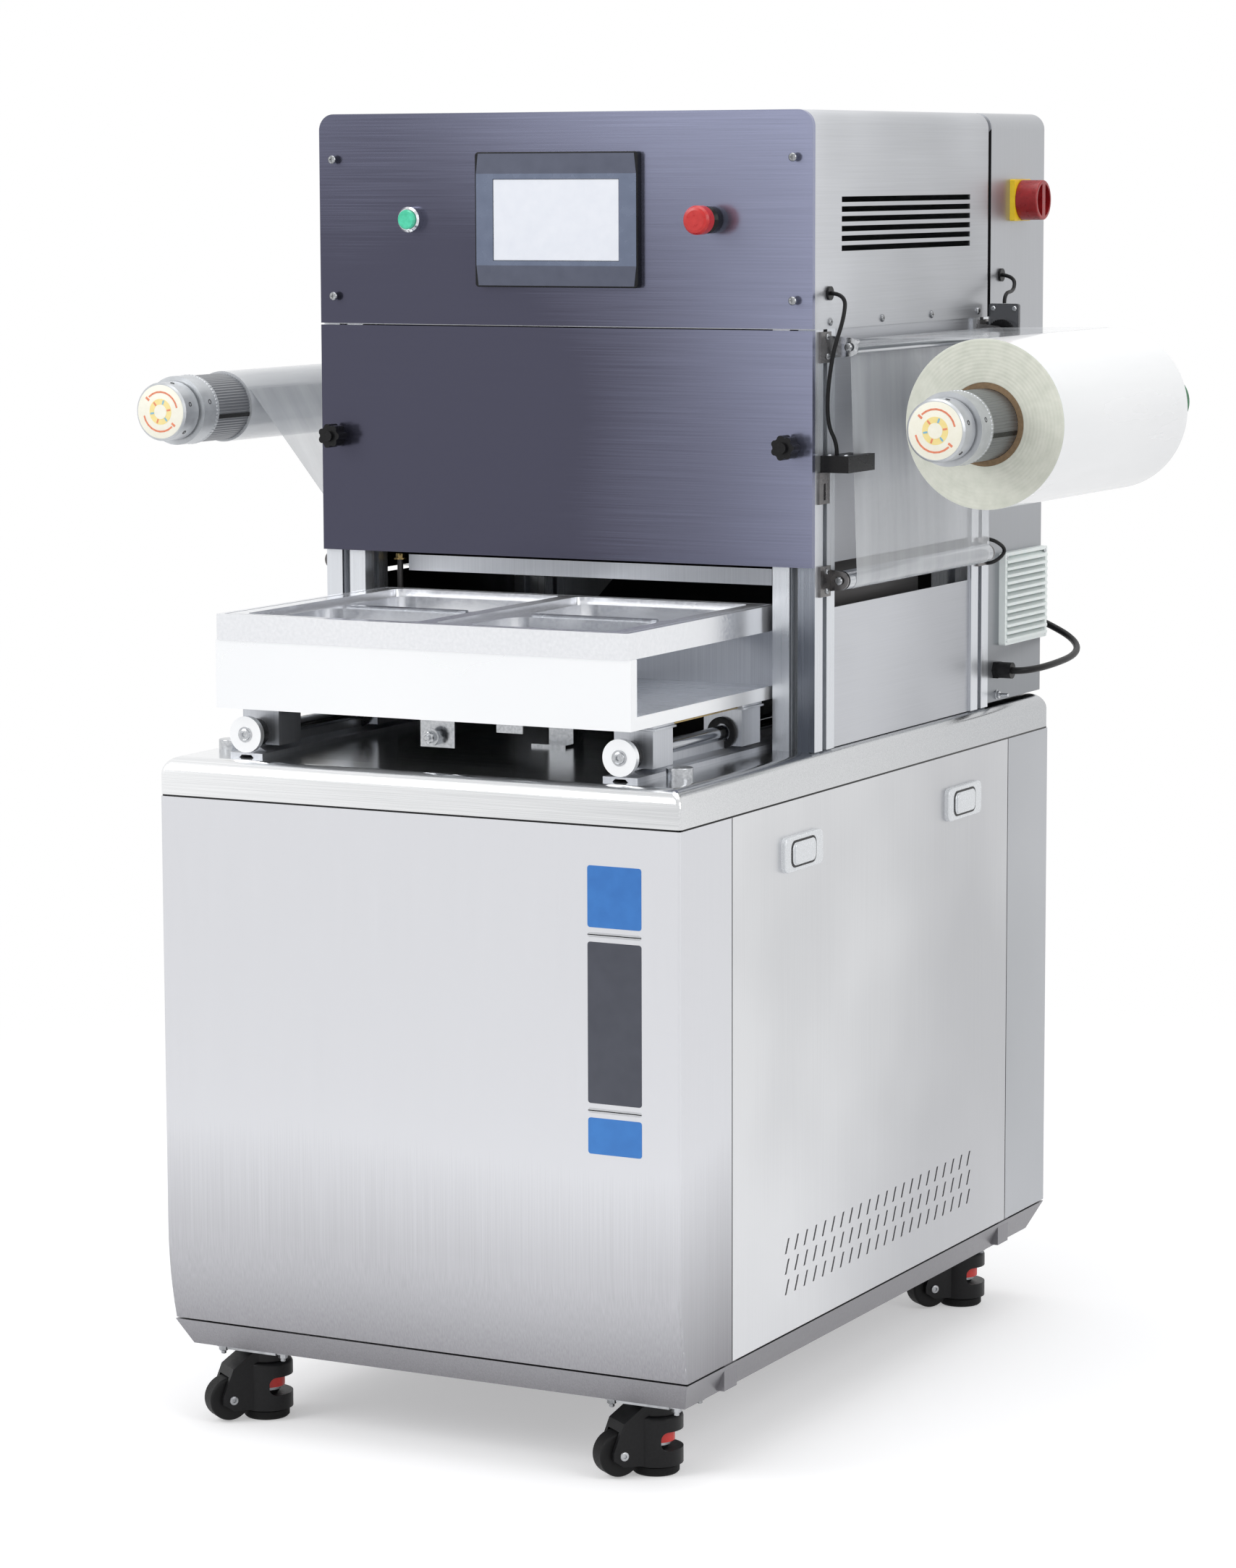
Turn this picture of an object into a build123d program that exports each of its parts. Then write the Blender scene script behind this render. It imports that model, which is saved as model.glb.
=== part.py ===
# A floor-standing tray sealing machine with a sliding tray mould.
# Millimetres, +Z up, +Y to the rear, +X to the right as seen from the front.
# The origin is on the floor, under the middle of the whole machine, film reels included.
import os
from math import atan2, cos, degrees, hypot, radians, sin, sqrt

from build123d import *

os.makedirs("parts", exist_ok=True)

# General sizes and clearances
sheet = 2.0
seam = 2.0
film_gap = 0.3
slide_fit = 0.05
spin_fit = 0.05
cable_fit = 0.1

# Base cabinet
base_width = 624.0
base_depth = 976.0
base_bottom = 118.0
table_top_z = 735.0
table_depth = 40.0
table_round = 18.0
table_corner_round = 4.0
table_sheet = 3.0
front_wrap = 118.0
rear_wrap = 120.0
panel_roll_height = 109.0
panel_roll_back = 14.0
panel_corner_round = 3.0
tray_drop = 32.0
tray_inset_side = 12.0
tray_low_front = 32.0
tray_low_rear = 26.0
tray_floor = 3.0
tube_size = 30.0
half_base = base_width / 2
cab_top = table_top_z - table_depth - seam
tray_bottom = base_bottom - tray_drop

# Vent slots and latches of the doors
vent_rows = 3
vent_count = 22
vent_pitch = 23.4
vent_row_pitch = 22.5
vent_width = 4.0
vent_height = 16.0
vent_lean = 8.0
vent_inset = 127.0
vent_rise = 103.0
vent_front_y = front_wrap + seam + vent_inset
vent_top_z = base_bottom + vent_rise
latch_drop = 56.0
latch_height = 38.0
latch_length = 94.0
latch_front_inset = 116.0
latch_rear_inset = 91.0
latch_thick = 6.0
latch_corner = 8.0
latch_edge = 2.0
latch_z = cab_top - latch_drop

# Levelling casters
caster_inset_x = 72.0
caster_inset_y = 84.0
caster_plate_w = 91.0
caster_plate_d = 72.0
caster_plate_t = 5.0
caster_step_size = 62.0
caster_step_t = 4.0
caster_pad_radius = 25.0
caster_pad_edge = 2.0
caster_pad_height = 11.0
caster_neck_radius = 12.0
caster_neck_z = 18.0
caster_washer_radius = 16.0
caster_washer_t = 4.0
caster_ring_radius = 20.0
caster_ring_z = 35.0
caster_ring_height = 13.0
caster_stem_radius = 6.0
caster_cup_radius = 29.0
caster_cup_bottom = 11.0
caster_cup_room = 26.5
caster_shelf_z = 22.0
caster_window_z = 28.0
caster_window_height = 20.0
caster_window_back = 8.0
caster_window_round = 8.0
caster_flange_top = 65.0
caster_flange_round = 5.0
caster_cap_radius = 24.0
caster_trail = 46.0
caster_turn = -36.0
caster_wheel_radius = 24.0
caster_wheel_width = 22.0
caster_wheel_edge = 3.0
caster_wheel_lift = 1.5
caster_axle_radius = 4.0
caster_cheek = 5.0
caster_gap = 1.5
caster_x = half_base - caster_inset_x
plate_z = tray_bottom - caster_plate_t
step_z = plate_z - caster_step_t

# Head, posts and panels
head_margin = 8.5
head_front_y = 330.0
post_length = 452.0
head_height = 232.0
head_round = 18.0
head_rear_round = 8.0
front_panel_t = 6.0
post_size = 50.0
post_setback = 7.0
post_slot = 10.0
post_slot_depth = 14.0
post_slot_inner = 20.0
post_lip = 4.0
rear_cabinet_depth = 166.0
rear_cabinet_over = 2.0
rear_cabinet_lift = 4.0
side_panel_inset = 3.0
film_slot_height = 49.0
film_slot_margin = 4.5
vent_strip_count = 6
vent_strip_height = 6.0
vent_strip_pitch = 10.4
vent_strip_inset = 73.0
vent_strip_rise = 85.0
vent_strip_depth = 10.0
head_width = base_width - 2 * head_margin
head_half = head_width / 2
head_bottom = table_top_z + post_length
head_top = head_bottom + head_height
head_mid_z = head_bottom + head_height / 2
post_rear_y = base_depth + rear_cabinet_over - rear_cabinet_depth
post_front_y = head_front_y + post_setback
post_gap_front = post_front_y + post_size
post_gap_rear = post_rear_y - post_size
vent_strip_front = head_front_y + vent_strip_inset
vent_strip_length = post_rear_y - vent_strip_front - vent_strip_inset + 12.0
vent_strip_z = head_bottom + vent_strip_rise

# Drawer, mould and rails
drawer_margin = 55.0
drawer_front_y = 14.5
drawer_length = 350.0
drawer_plate = 14.0
drawer_rise = 55.0
drawer_upright = 59.0
mould_height = 27.5
mould_side_inset = 1.5
mould_overhang = 2.5
mould_round = 4.0
groove_inset = 7.0
groove_width = 3.0
groove_depth = 1.5
column_gap = 20.0
recess_border = 17.0
recess_depth = 6.0
recess_round = 12.0
cavity_rim = 16.0
cavity_length = 130.0
cavity_pitch = 156.0
cavity_round = 24.0
strip_length = 150.0
strip_width = 14.0
strip_height = 2.5
strip_chamfer = 4.0
strip_holes = 4
strip_hole_pitch = 42.0
strip_hole_radius = 2.4
rail_inset = 23.5
rail_height = 25.0
rail_radius = 8.0
rail_seat = 0.8
rail_foot_width = 40.0
rail_foot_t = 5.0
rail_web = 7.0
rail_shoulder = 22.0
rail_shoulder_rise = 4.0
rail_relief_width = 18.0
rail_relief_top = 12.0
rail_relief = 3.0
rail_front_y = 36.0
rail_end_gap = 14.0
rail_disc_radius = 19.5
rail_disc_t = 7.0
rail_disc_lead = 2.0
bumper_radius = 15.0
bumper_length = 17.0
block_width = 45.0
block_length = 45.0
block_below = 14.0
block_above = 20.0
block_mouth = 11.0
block_front_y = 66.0
block_pitch = 208.0
drawer_half = head_half - drawer_margin
drawer_base_z = table_top_z + drawer_rise
upright_bottom = drawer_base_z + drawer_plate
mould_z = upright_bottom + drawer_upright
mould_top = mould_z + mould_height
rail_x = drawer_half - rail_inset
rail_axis_z = table_top_z + rail_height
rail_rear_y = post_rear_y - rail_end_gap

# Catch, tab, studs and stop
catch_x = 2.0
catch_width = 41.0
catch_height = 33.0
catch_t = 3.0
catch_inset = 37.5
catch_foot = 30.0
catch_bolt_x = -1.0
catch_bolt_drop = 23.0
catch_bolt_radius = 8.0
catch_bolt_length = 10.0
tab_x = 94.5
tab_width = 31.0
tab_height = 12.0
tab_inset = 26.0
stud_out = 22.5
stud_y = 80.0
stud_radius = 14.0
stud_height = 13.0
stop_x = 28.0
stop_y = 288.0
stop_width = 30.0
stop_depth = 24.0
stop_height = 34.0
stop_foot_width = 42.0
stop_foot_depth = 28.0
stop_foot_t = 3.0
stop_foot_lead = 20.0
stop_foot_side = 4.0

# Sealing head
seal_margin = 76.0
seal_setback = 60.0
seal_end_gap = 56.0
seal_rise = 17.5
seal_thick = 18.0
heater_inset = 24.0
heater_height = 46.0
guide_radius = 12.0
guide_inset = 46.0
seal_width = head_width - 2 * seal_margin
seal_front_y = head_front_y + seal_setback
seal_rear_y = post_rear_y - seal_end_gap
seal_bottom = mould_top + seal_rise
lower_panel_rise = 43.5
lower_panel_bottom = mould_top + lower_panel_rise
film_slot_drop = 3.5
film_slot_bottom = mould_top - film_slot_drop

# Film path
film_t = 0.3
film_lead = 61.5
film_tail = 54.5
shaft_reach = 171.5
shaft_drop = 99.0
shaft_front_y = 262.0
knob_radius = 33.0
knob_length = 28.0
knob_edge = 2.0
knob_neck = 3.0
collar_radius = 39.0
collar_length = 34.0
sleeve_radius = 37.5
sleeve_extra = 10.5
sleeve_slots = 3
sleeve_slot_width = 2.5
sleeve_slot_depth = 2.0
sleeve_slot_lead = 8.0
journal_radius = 15.0
brake_cap_radius = 33.0
brake_cap_length = 32.0
brake_cap_edge = 4.0
brake_cap_out = 110.0
core_inner = 38.0
core_radius = 49.0
roll_radius = 90.5
rewind_radius = 40.5
bracket_setback = 14.0
bracket_t = 46.0
bracket_hub_radius = 34.0
bracket_flange_t = 8.0
bracket_flange_over = 30.0
bracket_flange_height = 120.0
bracket_arm_height = 56.0
upper_roller_out = 24.0
upper_roller_drop = 19.0
upper_roller_radius = 8.0
lower_roller_out = 13.5
lower_roller_rise = 27.5
lower_roller_radius = 10.5
roller_pin_radius = 4.0
roller_pin_end = 2.0
roller_side_gap = 2.0
lug_t = 3.0
lug_base_length = 26.0
lug_base_height = 33.0
lug_root_half = 12.0
lug_tip_radius = 10.0
roller_front_gap = 46.0
roller_rear_gap = 42.0
encoder_gap = 14.0
encoder_wheel_radius = 15.5
encoder_wheel_t = 6.0
encoder_plate = 37.0
encoder_plate_t = 5.0
encoder_plate_round = 3.0
encoder_plate_gap = 4.0
encoder_plate_rise = 16.0
encoder_tie_rise = 8.0
encoder_tie_height = 12.0
film_front_y = head_front_y + film_lead
film_width = post_rear_y - film_tail - film_front_y
sleeve_end_y = film_front_y + film_width + sleeve_extra
brake_cap_end_y = post_rear_y + brake_cap_out
shaft_x = head_half + shaft_reach
shaft_z = head_bottom - shaft_drop
bracket_y = post_rear_y + bracket_setback
upper_roller_x = head_half + upper_roller_out
upper_roller_z = head_bottom - upper_roller_drop
lower_roller_x = head_half + lower_roller_out
lower_roller_z = mould_top + lower_roller_rise
roller_front_y = head_front_y + roller_front_gap
roller_rear_y = post_rear_y - roller_rear_gap
lug_front_y = roller_front_y - roller_side_gap - lug_t
lug_rear_y = roller_rear_y + roller_side_gap
encoder_y = roller_rear_y + encoder_gap

# Edge sensor and the slotted plate under it
sensor_drop = 152.0
sensor_height = 18.0
sensor_width = 30.0
sensor_length = 68.0
sensor_lead = 20.0
sensor_side_gap = 3.0
sensor_mouth = 10.0
sensor_mouth_length = 36.0
sensor_mouth_out = 20.0
sensor_foot_length = 20.0
slotted_plate_t = 2.5
slotted_plate_width = 26.0
slotted_plate_height = 34.0
slotted_plate_inset = 26.0
slotted_hole_width = 5.0
slotted_hole_height = 18.0
slotted_hole_drop = 4.0
sensor_z = head_bottom - sensor_drop
sensor_front_y = head_front_y + sensor_lead
slotted_plate_y = head_front_y + slotted_plate_inset

# Controls
touch_width = 200.4
touch_height = 146.5
touch_proud = 9.0
touch_round = 4.0
touch_edge = 1.0
screen_width = 155.0
screen_height = 88.0
screen_depth = 0.6
button_inset = 119.5
button_bezel_radius = 14.0
button_bezel_proud = 12.0
button_bezel_edge = 2.0
button_floor = 4.0
button_cap_radius = 10.8
button_cap_proud = 15.5
button_cap_edge = 1.5
button_fit = 0.4
button_spare = 0.5
button_travel = 4.0
estop_base_radius = 14.5
estop_base_proud = 16.0
estop_base_edge = 4.0
estop_stem_radius = 6.0
estop_radius = 15.5
estop_proud = 40.0
estop_edge = 2.0
estop_crown = 5.0
estop_spare = 1.0
estop_travel = 5.0
star_inset = 23.5
star_drop = 124.0
star_radius = 13.5
star_proud = 30.0
star_lobes = 7
star_lobe_radius = 4.0
star_lobe_inset = 4.0
star_core_inset = 2.2
star_neck_radius = 6.0
star_neck_length = 8.0
star_nose = 4.0
switch_setback = 80.0
switch_plate_size = 48.0
switch_plate_round = 2.0
switch_plate_t = 6.0
switch_bore = 5.4
switch_pin_radius = 5.0
switch_pin_inset = 1.0
switch_gap = 0.5
switch_knob_radius = 23.0
switch_knob_length = 26.0
switch_knob_edge = 1.5
switch_wall = 4.0
switch_grip = 9.0
switch_hollow = 15.0
switch_rise = 16.5
grille_setback = 96.0
grille_rise = 122.5
grille_width = 128.0
grille_height = 108.0
grille_t = 10.0
grille_frame_t = 8.0
grille_round = 3.0
grille_side = 6.0
grille_end = 4.0
grille_fins = 12
button_x = head_half - button_inset
star_x = head_half - star_inset
star_z = head_bottom - star_drop
switch_y = post_rear_y + switch_setback
switch_z = head_mid_z + switch_rise
grille_y = post_rear_y + grille_setback
grille_z = table_top_z + grille_rise

# Cables
grommet_radius = 7.5
grommet_proud = 3.0
grommet_front_inset = 40.0
grommet_front_rise = 38.0
grommet_rear_setback = 29.0
grommet_rear_rise = 47.0
gland_setback = 22.0
gland_rise = 41.0
gland_radius = 9.5
gland_nut_extra = 1.5
gland_nut_length = 6.0
gland_length = 22.0
gland_back_inset = 41.5
gland_back_rise = 50.0
gland_back_length = 13.2
cable_radius = 2.2
power_cable_radius = 4.0
cable_bend = 8.0
encoder_cable_bend = 4.0
power_cable_bend = 18.0
grommet_front_y = head_front_y + grommet_front_inset
grommet_front_z = head_bottom + grommet_front_rise
grommet_rear_y = post_rear_y + grommet_rear_setback
grommet_rear_z = head_bottom + grommet_rear_rise
gland_y = post_rear_y + gland_setback
gland_z = table_top_z + gland_rise
gland_back_x = head_half - gland_back_inset


# Middle of the machine: the supply roll reaches further out than the rewound film
reel_shift = (roll_radius - rewind_radius) / 2
mid_y = (base_depth + rear_cabinet_over) / 2
table_mid_y = base_depth / 2 - mid_y
table_rear = base_depth - mid_y


def yy(from_front):
    """Depth behind the front edge of the table, given in the machine's frame."""
    return from_front - mid_y


def save(piece, name):
    """Label a piece and write it with the origin under the middle of the machine."""
    placed = piece.moved(Location((-reel_shift, 0, 0)))
    placed.label = name
    export_step(placed, "parts/" + name + ".step")


# Base front panel: one sheet wrapped round both front corners, rolled in at the foot
bend_radius = (panel_roll_height**2 + panel_roll_back**2) / (2 * panel_roll_back)


def front_profile(inset):
    """Side outline of the wrapped front panel, drawn in the YZ plane."""
    front = yy(0) + inset
    bend = base_bottom + panel_roll_height
    swing = 0.5 * atan2(panel_roll_height, bend_radius - panel_roll_back)
    mid = (front + bend_radius * (1 - cos(swing)), bend - bend_radius * sin(swing))
    with BuildLine() as outline:
        Line((front, cab_top), (front, bend))
        ThreePointArc((front, bend), mid, (front + panel_roll_back, base_bottom))
        Line((front + panel_roll_back, base_bottom), (yy(front_wrap), base_bottom))
        Line((yy(front_wrap), base_bottom), (yy(front_wrap), cab_top))
        Line((yy(front_wrap), cab_top), (front, cab_top))
    return outline.line


with BuildPart() as base_panels:
    with BuildSketch(Plane.YZ):
        with BuildLine():
            add(front_profile(0))
        make_face()
    extrude(amount=half_base, both=True)
    front_edges = base_panels.edges().filter_by(Axis.Z).group_by(Axis.Y)[0]
    fillet(front_edges, radius=panel_corner_round)
    with BuildSketch(Plane.YZ):
        with BuildLine():
            add(front_profile(sheet))
        make_face()
    extrude(amount=half_base - sheet, both=True, mode=Mode.SUBTRACT)
    # Rear panel, wrapped round both rear corners
    with BuildSketch(Plane.XY.offset(base_bottom)):
        with Locations((0, table_rear - rear_wrap / 2)):
            Rectangle(base_width, rear_wrap)
        with Locations((0, table_rear - rear_wrap / 2 - sheet / 2)):
            Rectangle(base_width - 2 * sheet, rear_wrap - sheet, mode=Mode.SUBTRACT)
    extrude(amount=cab_top - base_bottom)
save(base_panels.part, "base_panels")

# Welded base frame: tapered foot tray, four uprights and the ring that carries the table
tray_top = base_bottom - seam
tray_low_length = base_depth - tray_low_front - tray_low_rear
tray_low_mid = table_mid_y + (tray_low_front - tray_low_rear) / 2
tray_mid = table_mid_y + panel_roll_back / 2
upright_x = half_base - sheet - tube_size / 2
upright_rows = (yy(front_wrap + seam / 2), table_rear - rear_wrap - seam / 2)
upright_places = [(side * upright_x, y0) for side in (-1, 1) for y0 in upright_rows]
with BuildPart() as base_frame:
    with BuildSketch(Plane.XY.offset(tray_bottom)):
        with Locations((0, tray_low_mid)):
            Rectangle(base_width - 2 * tray_inset_side, tray_low_length)
    with BuildSketch(Plane.XY.offset(tray_top)):
        with Locations((0, tray_mid)):
            Rectangle(base_width, base_depth - panel_roll_back)
    loft()
    with BuildSketch(Plane.XY.offset(tray_bottom + tray_floor)):
        with Locations((0, tray_low_mid)):
            tray_room = base_width - 2 * tray_inset_side - 2 * tray_floor
            Rectangle(tray_room, tray_low_length - 2 * tray_floor)
    extrude(amount=tray_top - tray_bottom, mode=Mode.SUBTRACT)
    with BuildSketch(Plane.XY.offset(tray_bottom + tray_floor)):
        with Locations(upright_places):
            Rectangle(tube_size, tube_size)
    extrude(amount=cab_top - tray_bottom - tray_floor)
    with BuildSketch(Plane.XY.offset(cab_top)):
        ring_width = base_width - 2 * table_round
        ring_length = base_depth - 2 * table_round
        ring_room = (ring_width - 2 * tube_size, ring_length - 2 * tube_size)
        with Locations((0, table_mid_y)):
            Rectangle(ring_width, ring_length)
            Rectangle(*ring_room, mode=Mode.SUBTRACT)
    extrude(amount=table_top_z - table_sheet - cab_top)
save(base_frame.part, "base_frame")

# Side doors with slanted vent slots
door_front = yy(front_wrap) + seam
door_rear = table_rear - rear_wrap - seam
door_length = door_rear - door_front
door_x = half_base - sheet / 2
door_mid_y = (door_front + door_rear) / 2
door_mid_z = (base_bottom + cab_top) / 2
with BuildPart() as side_doors:
    for side in (-1, 1):
        with Locations((side * door_x, door_mid_y, door_mid_z)):
            Box(sheet, door_length, cab_top - base_bottom)
    with BuildSketch(Plane.YZ.offset(-base_width)):
        for row in range(vent_rows):
            for column in range(vent_count):
                y0 = yy(vent_front_y) + column * vent_pitch
                z0 = vent_top_z - row * vent_row_pitch
                with BuildLine():
                    Polyline(
                        (y0 + vent_lean, z0),
                        (y0 + vent_lean + vent_width, z0),
                        (y0 + vent_width, z0 - vent_height),
                        (y0, z0 - vent_height),
                        close=True,
                    )
                make_face()
    extrude(amount=2 * base_width, mode=Mode.SUBTRACT)
save(side_doors.part, "side_doors")

# Table top: a folded pan with rounded upper edges
with BuildPart() as table_top:
    with Locations((0, table_mid_y, table_top_z - table_depth / 2)):
        Box(base_width, base_depth, table_depth)
    fillet(table_top.edges().filter_by(Axis.Z), radius=table_corner_round)
    fillet(table_top.faces().sort_by(Axis.Z)[-1].edges(), radius=table_round)
    offset(amount=-table_sheet, openings=table_top.faces().sort_by(Axis.Z)[0])
save(table_top.part, "table_top")

# Door latches: rounded grey housings, two on each door
front_latch = door_front + latch_front_inset + latch_length / 2
rear_latch = door_rear - latch_rear_inset - latch_length / 2
with BuildPart() as door_latches:
    for side in (-1, 1):
        on_door = Plane(
            origin=(side * half_base, 0, latch_z), x_dir=(0, side, 0), z_dir=(side, 0, 0)
        )
        with BuildSketch(on_door):
            with Locations((side * front_latch, 0), (side * rear_latch, 0)):
                RectangleRounded(latch_length, latch_height, latch_corner)
        extrude(amount=latch_thick)
    latch_fronts = door_latches.faces().filter_by(Axis.X).group_by(Axis.X)
    fillet(latch_fronts[-1].edges() + latch_fronts[0].edges(), radius=latch_edge)
save(door_latches.part, "door_latches")

# Casters: fixed plates, stems, red rings and pads; housings and wheels that swivel
caster_rows = (yy(caster_inset_y), table_rear - caster_inset_y)
caster_places = {
    "front_left": (-caster_x, caster_rows[0]),
    "front_right": (caster_x, caster_rows[0]),
    "rear_left": (-caster_x, caster_rows[1]),
    "rear_right": (caster_x, caster_rows[1]),
}
with BuildPart() as caster_plates:
    with BuildSketch(Plane.XY.offset(plate_z)):
        with Locations(list(caster_places.values())):
            Rectangle(caster_plate_w, caster_plate_d)
    extrude(amount=caster_plate_t)
    with BuildSketch(Plane.XY.offset(step_z)):
        with Locations(list(caster_places.values())):
            Rectangle(caster_step_size, caster_step_size)
    extrude(amount=caster_step_t)
save(caster_plates.part, "caster_plates")

ring_top = caster_ring_z + caster_ring_height
washer_z = caster_ring_z - caster_washer_t
pad_outline = [
    (0, 0),
    (caster_pad_radius - caster_pad_edge, 0),
    (caster_pad_radius, caster_pad_edge),
    (caster_pad_radius, caster_pad_height - caster_pad_edge),
    (caster_pad_radius - 2 * caster_pad_edge, caster_pad_height),
    (caster_neck_radius, caster_neck_z),
    (caster_neck_radius, washer_z),
    (caster_washer_radius, washer_z),
    (caster_washer_radius, caster_ring_z),
    (caster_ring_radius, caster_ring_z),
    (caster_ring_radius, ring_top),
    (caster_stem_radius, ring_top),
    (caster_stem_radius, step_z),
    (0, step_z),
]
with BuildPart() as caster_pads:
    for x, y in caster_places.values():
        with BuildSketch(Plane(origin=(x, y, 0), x_dir=(1, 0, 0), z_dir=(0, -1, 0))):
            with BuildLine():
                Polyline(*pad_outline, close=True)
            make_face()
        revolve(axis=Axis((x, y, 0), (0, 0, 1)))
save(caster_pads.part, "caster_pads")

# Caster housing and wheel, drawn at the swivel axis and then set at each corner.
# The cup stands round the pad, its window shows the ring, and the pod holds the wheel.
wheel_z = caster_wheel_radius + caster_wheel_lift
wheel_room = caster_wheel_radius + caster_gap
wheel_slot = caster_wheel_width / 2 + caster_gap
pod_half = wheel_slot + caster_cheek
cap_top = step_z - caster_gap
ring_room = caster_ring_radius + caster_gap
pod_nose = caster_trail + caster_neck_radius
window_mid_z = caster_window_z + caster_window_height / 2
with BuildPart() as housing:
    with BuildSketch(Plane.XY.offset(caster_cup_bottom)):
        Circle(caster_cup_radius)
    extrude(amount=caster_flange_top - caster_cup_bottom)
    fillet(housing.faces().sort_by(Axis.Z)[-1].edges(), radius=caster_flange_round)
    with BuildSketch(Plane.XY.offset(caster_flange_top)):
        Circle(caster_cap_radius)
    extrude(amount=cap_top - caster_flange_top)
    with BuildSketch(Plane.YZ):
        with BuildLine():
            Polyline(
                (0, cap_top),
                (-caster_cap_radius, cap_top),
                (-caster_trail, caster_flange_top - caster_flange_round),
                (-pod_nose, wheel_z + caster_axle_radius),
                (-pod_nose, wheel_z - caster_axle_radius),
                (-caster_trail, wheel_z - caster_neck_radius),
                (0, caster_cup_bottom),
                close=True,
            )
        make_face()
    extrude(amount=pod_half, both=True)
    with BuildSketch(Plane.YZ):
        with Locations((-caster_trail, wheel_z)):
            Circle(wheel_room)
    extrude(amount=wheel_slot, both=True, mode=Mode.SUBTRACT)
    # Room inside the cup for the pad and the ring, and the bore for the stem
    with BuildSketch(Plane.XY):
        Circle(caster_cup_room)
    extrude(amount=caster_shelf_z, mode=Mode.SUBTRACT)
    with BuildSketch(Plane.XY):
        Circle(caster_neck_radius + caster_gap)
    extrude(amount=caster_window_z, mode=Mode.SUBTRACT)
    with BuildSketch(Plane.XY.offset(caster_window_z)):
        Circle(ring_room)
    extrude(amount=ring_top + caster_gap - caster_window_z, mode=Mode.SUBTRACT)
    with BuildSketch(Plane.XY):
        Circle(caster_stem_radius + spin_fit)
    extrude(amount=step_z, mode=Mode.SUBTRACT)
    with BuildSketch(Plane.YZ):
        with Locations((caster_cup_radius - caster_window_back, window_mid_z)):
            RectangleRounded(2 * caster_cup_radius, caster_window_height, caster_window_round)
    extrude(amount=2 * caster_cup_radius, both=True, mode=Mode.SUBTRACT)
    with BuildSketch(Plane.YZ):
        with Locations((-caster_trail, wheel_z)):
            Circle(caster_axle_radius)
    extrude(amount=pod_half, both=True)

with BuildPart() as wheel:
    with BuildSketch(Plane.YZ):
        with Locations((-caster_trail, wheel_z)):
            Circle(caster_wheel_radius)
    extrude(amount=caster_wheel_width / 2, both=True)
    fillet(wheel.edges().filter_by(GeomType.CIRCLE), radius=caster_wheel_edge)
    with BuildSketch(Plane.YZ):
        with Locations((-caster_trail, wheel_z)):
            Circle(caster_axle_radius + spin_fit)
    extrude(amount=caster_wheel_width, both=True, mode=Mode.SUBTRACT)

for corner, (x, y) in caster_places.items():
    place = Location((x, y, 0), (0, 0, caster_turn))
    save(housing.part.moved(place), "caster_housing_" + corner)
    save(wheel.part.moved(place), "caster_wheel_" + corner)

# Corner posts: slotted aluminium profiles from the table to the head
with BuildSketch() as post_section:
    Rectangle(post_size, post_size)
    for turn in range(4):
        with Locations(Rot(0, 0, 90 * turn)):
            with Locations((0, post_size / 2 - post_slot_depth / 2)):
                Rectangle(post_slot, post_slot_depth, mode=Mode.SUBTRACT)
            with Locations((0, post_size / 2 - (post_slot_depth + post_lip) / 2)):
                Rectangle(post_slot_inner, post_slot_depth - post_lip, mode=Mode.SUBTRACT)

post_x = head_half - post_size / 2
post_rows = (yy(post_front_y + post_size / 2), yy(post_rear_y - post_size / 2))
post_places = [(side * post_x, y0) for side in (-1, 1) for y0 in post_rows]
with BuildPart() as corner_posts:
    with BuildSketch(Plane.XY.offset(table_top_z)):
        with Locations(post_places):
            add(post_section.sketch)
    extrude(amount=head_bottom - table_top_z)
save(corner_posts.part, "corner_posts")


def rounded_outline(bottom):
    """Front outline of the head: square below, rounded upper corners."""
    half = head_half
    flat = head_half - head_round
    shoulder = head_top - head_round
    with BuildLine() as outline:
        Line((-half, bottom), (half, bottom))
        Line((half, bottom), (half, shoulder))
        RadiusArc((half, shoulder), (flat, head_top), -head_round)
        Line((flat, head_top), (-flat, head_top))
        RadiusArc((-flat, head_top), (-half, shoulder), -head_round)
        Line((-half, shoulder), (-half, bottom))
    return outline.line


def facing_front(at_y):
    """Plane whose local X is +X and local Y is +Z, with its normal to the front."""
    return Plane(origin=(0, yy(at_y), 0), x_dir=(1, 0, 0), z_dir=(0, -1, 0))


# Upper and lower front panels
with BuildPart() as upper_front_panel:
    with BuildSketch(facing_front(head_front_y)):
        with BuildLine():
            add(rounded_outline(head_bottom + seam / 2))
        make_face()
    extrude(amount=-front_panel_t)
save(upper_front_panel.part, "upper_front_panel")

with BuildPart() as lower_front_panel:
    with BuildSketch(facing_front(head_front_y)):
        with Locations((0, (lower_panel_bottom + head_bottom - seam / 2) / 2)):
            Rectangle(head_width, head_bottom - seam / 2 - lower_panel_bottom)
    extrude(amount=-post_setback)
save(lower_front_panel.part, "lower_front_panel")

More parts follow.
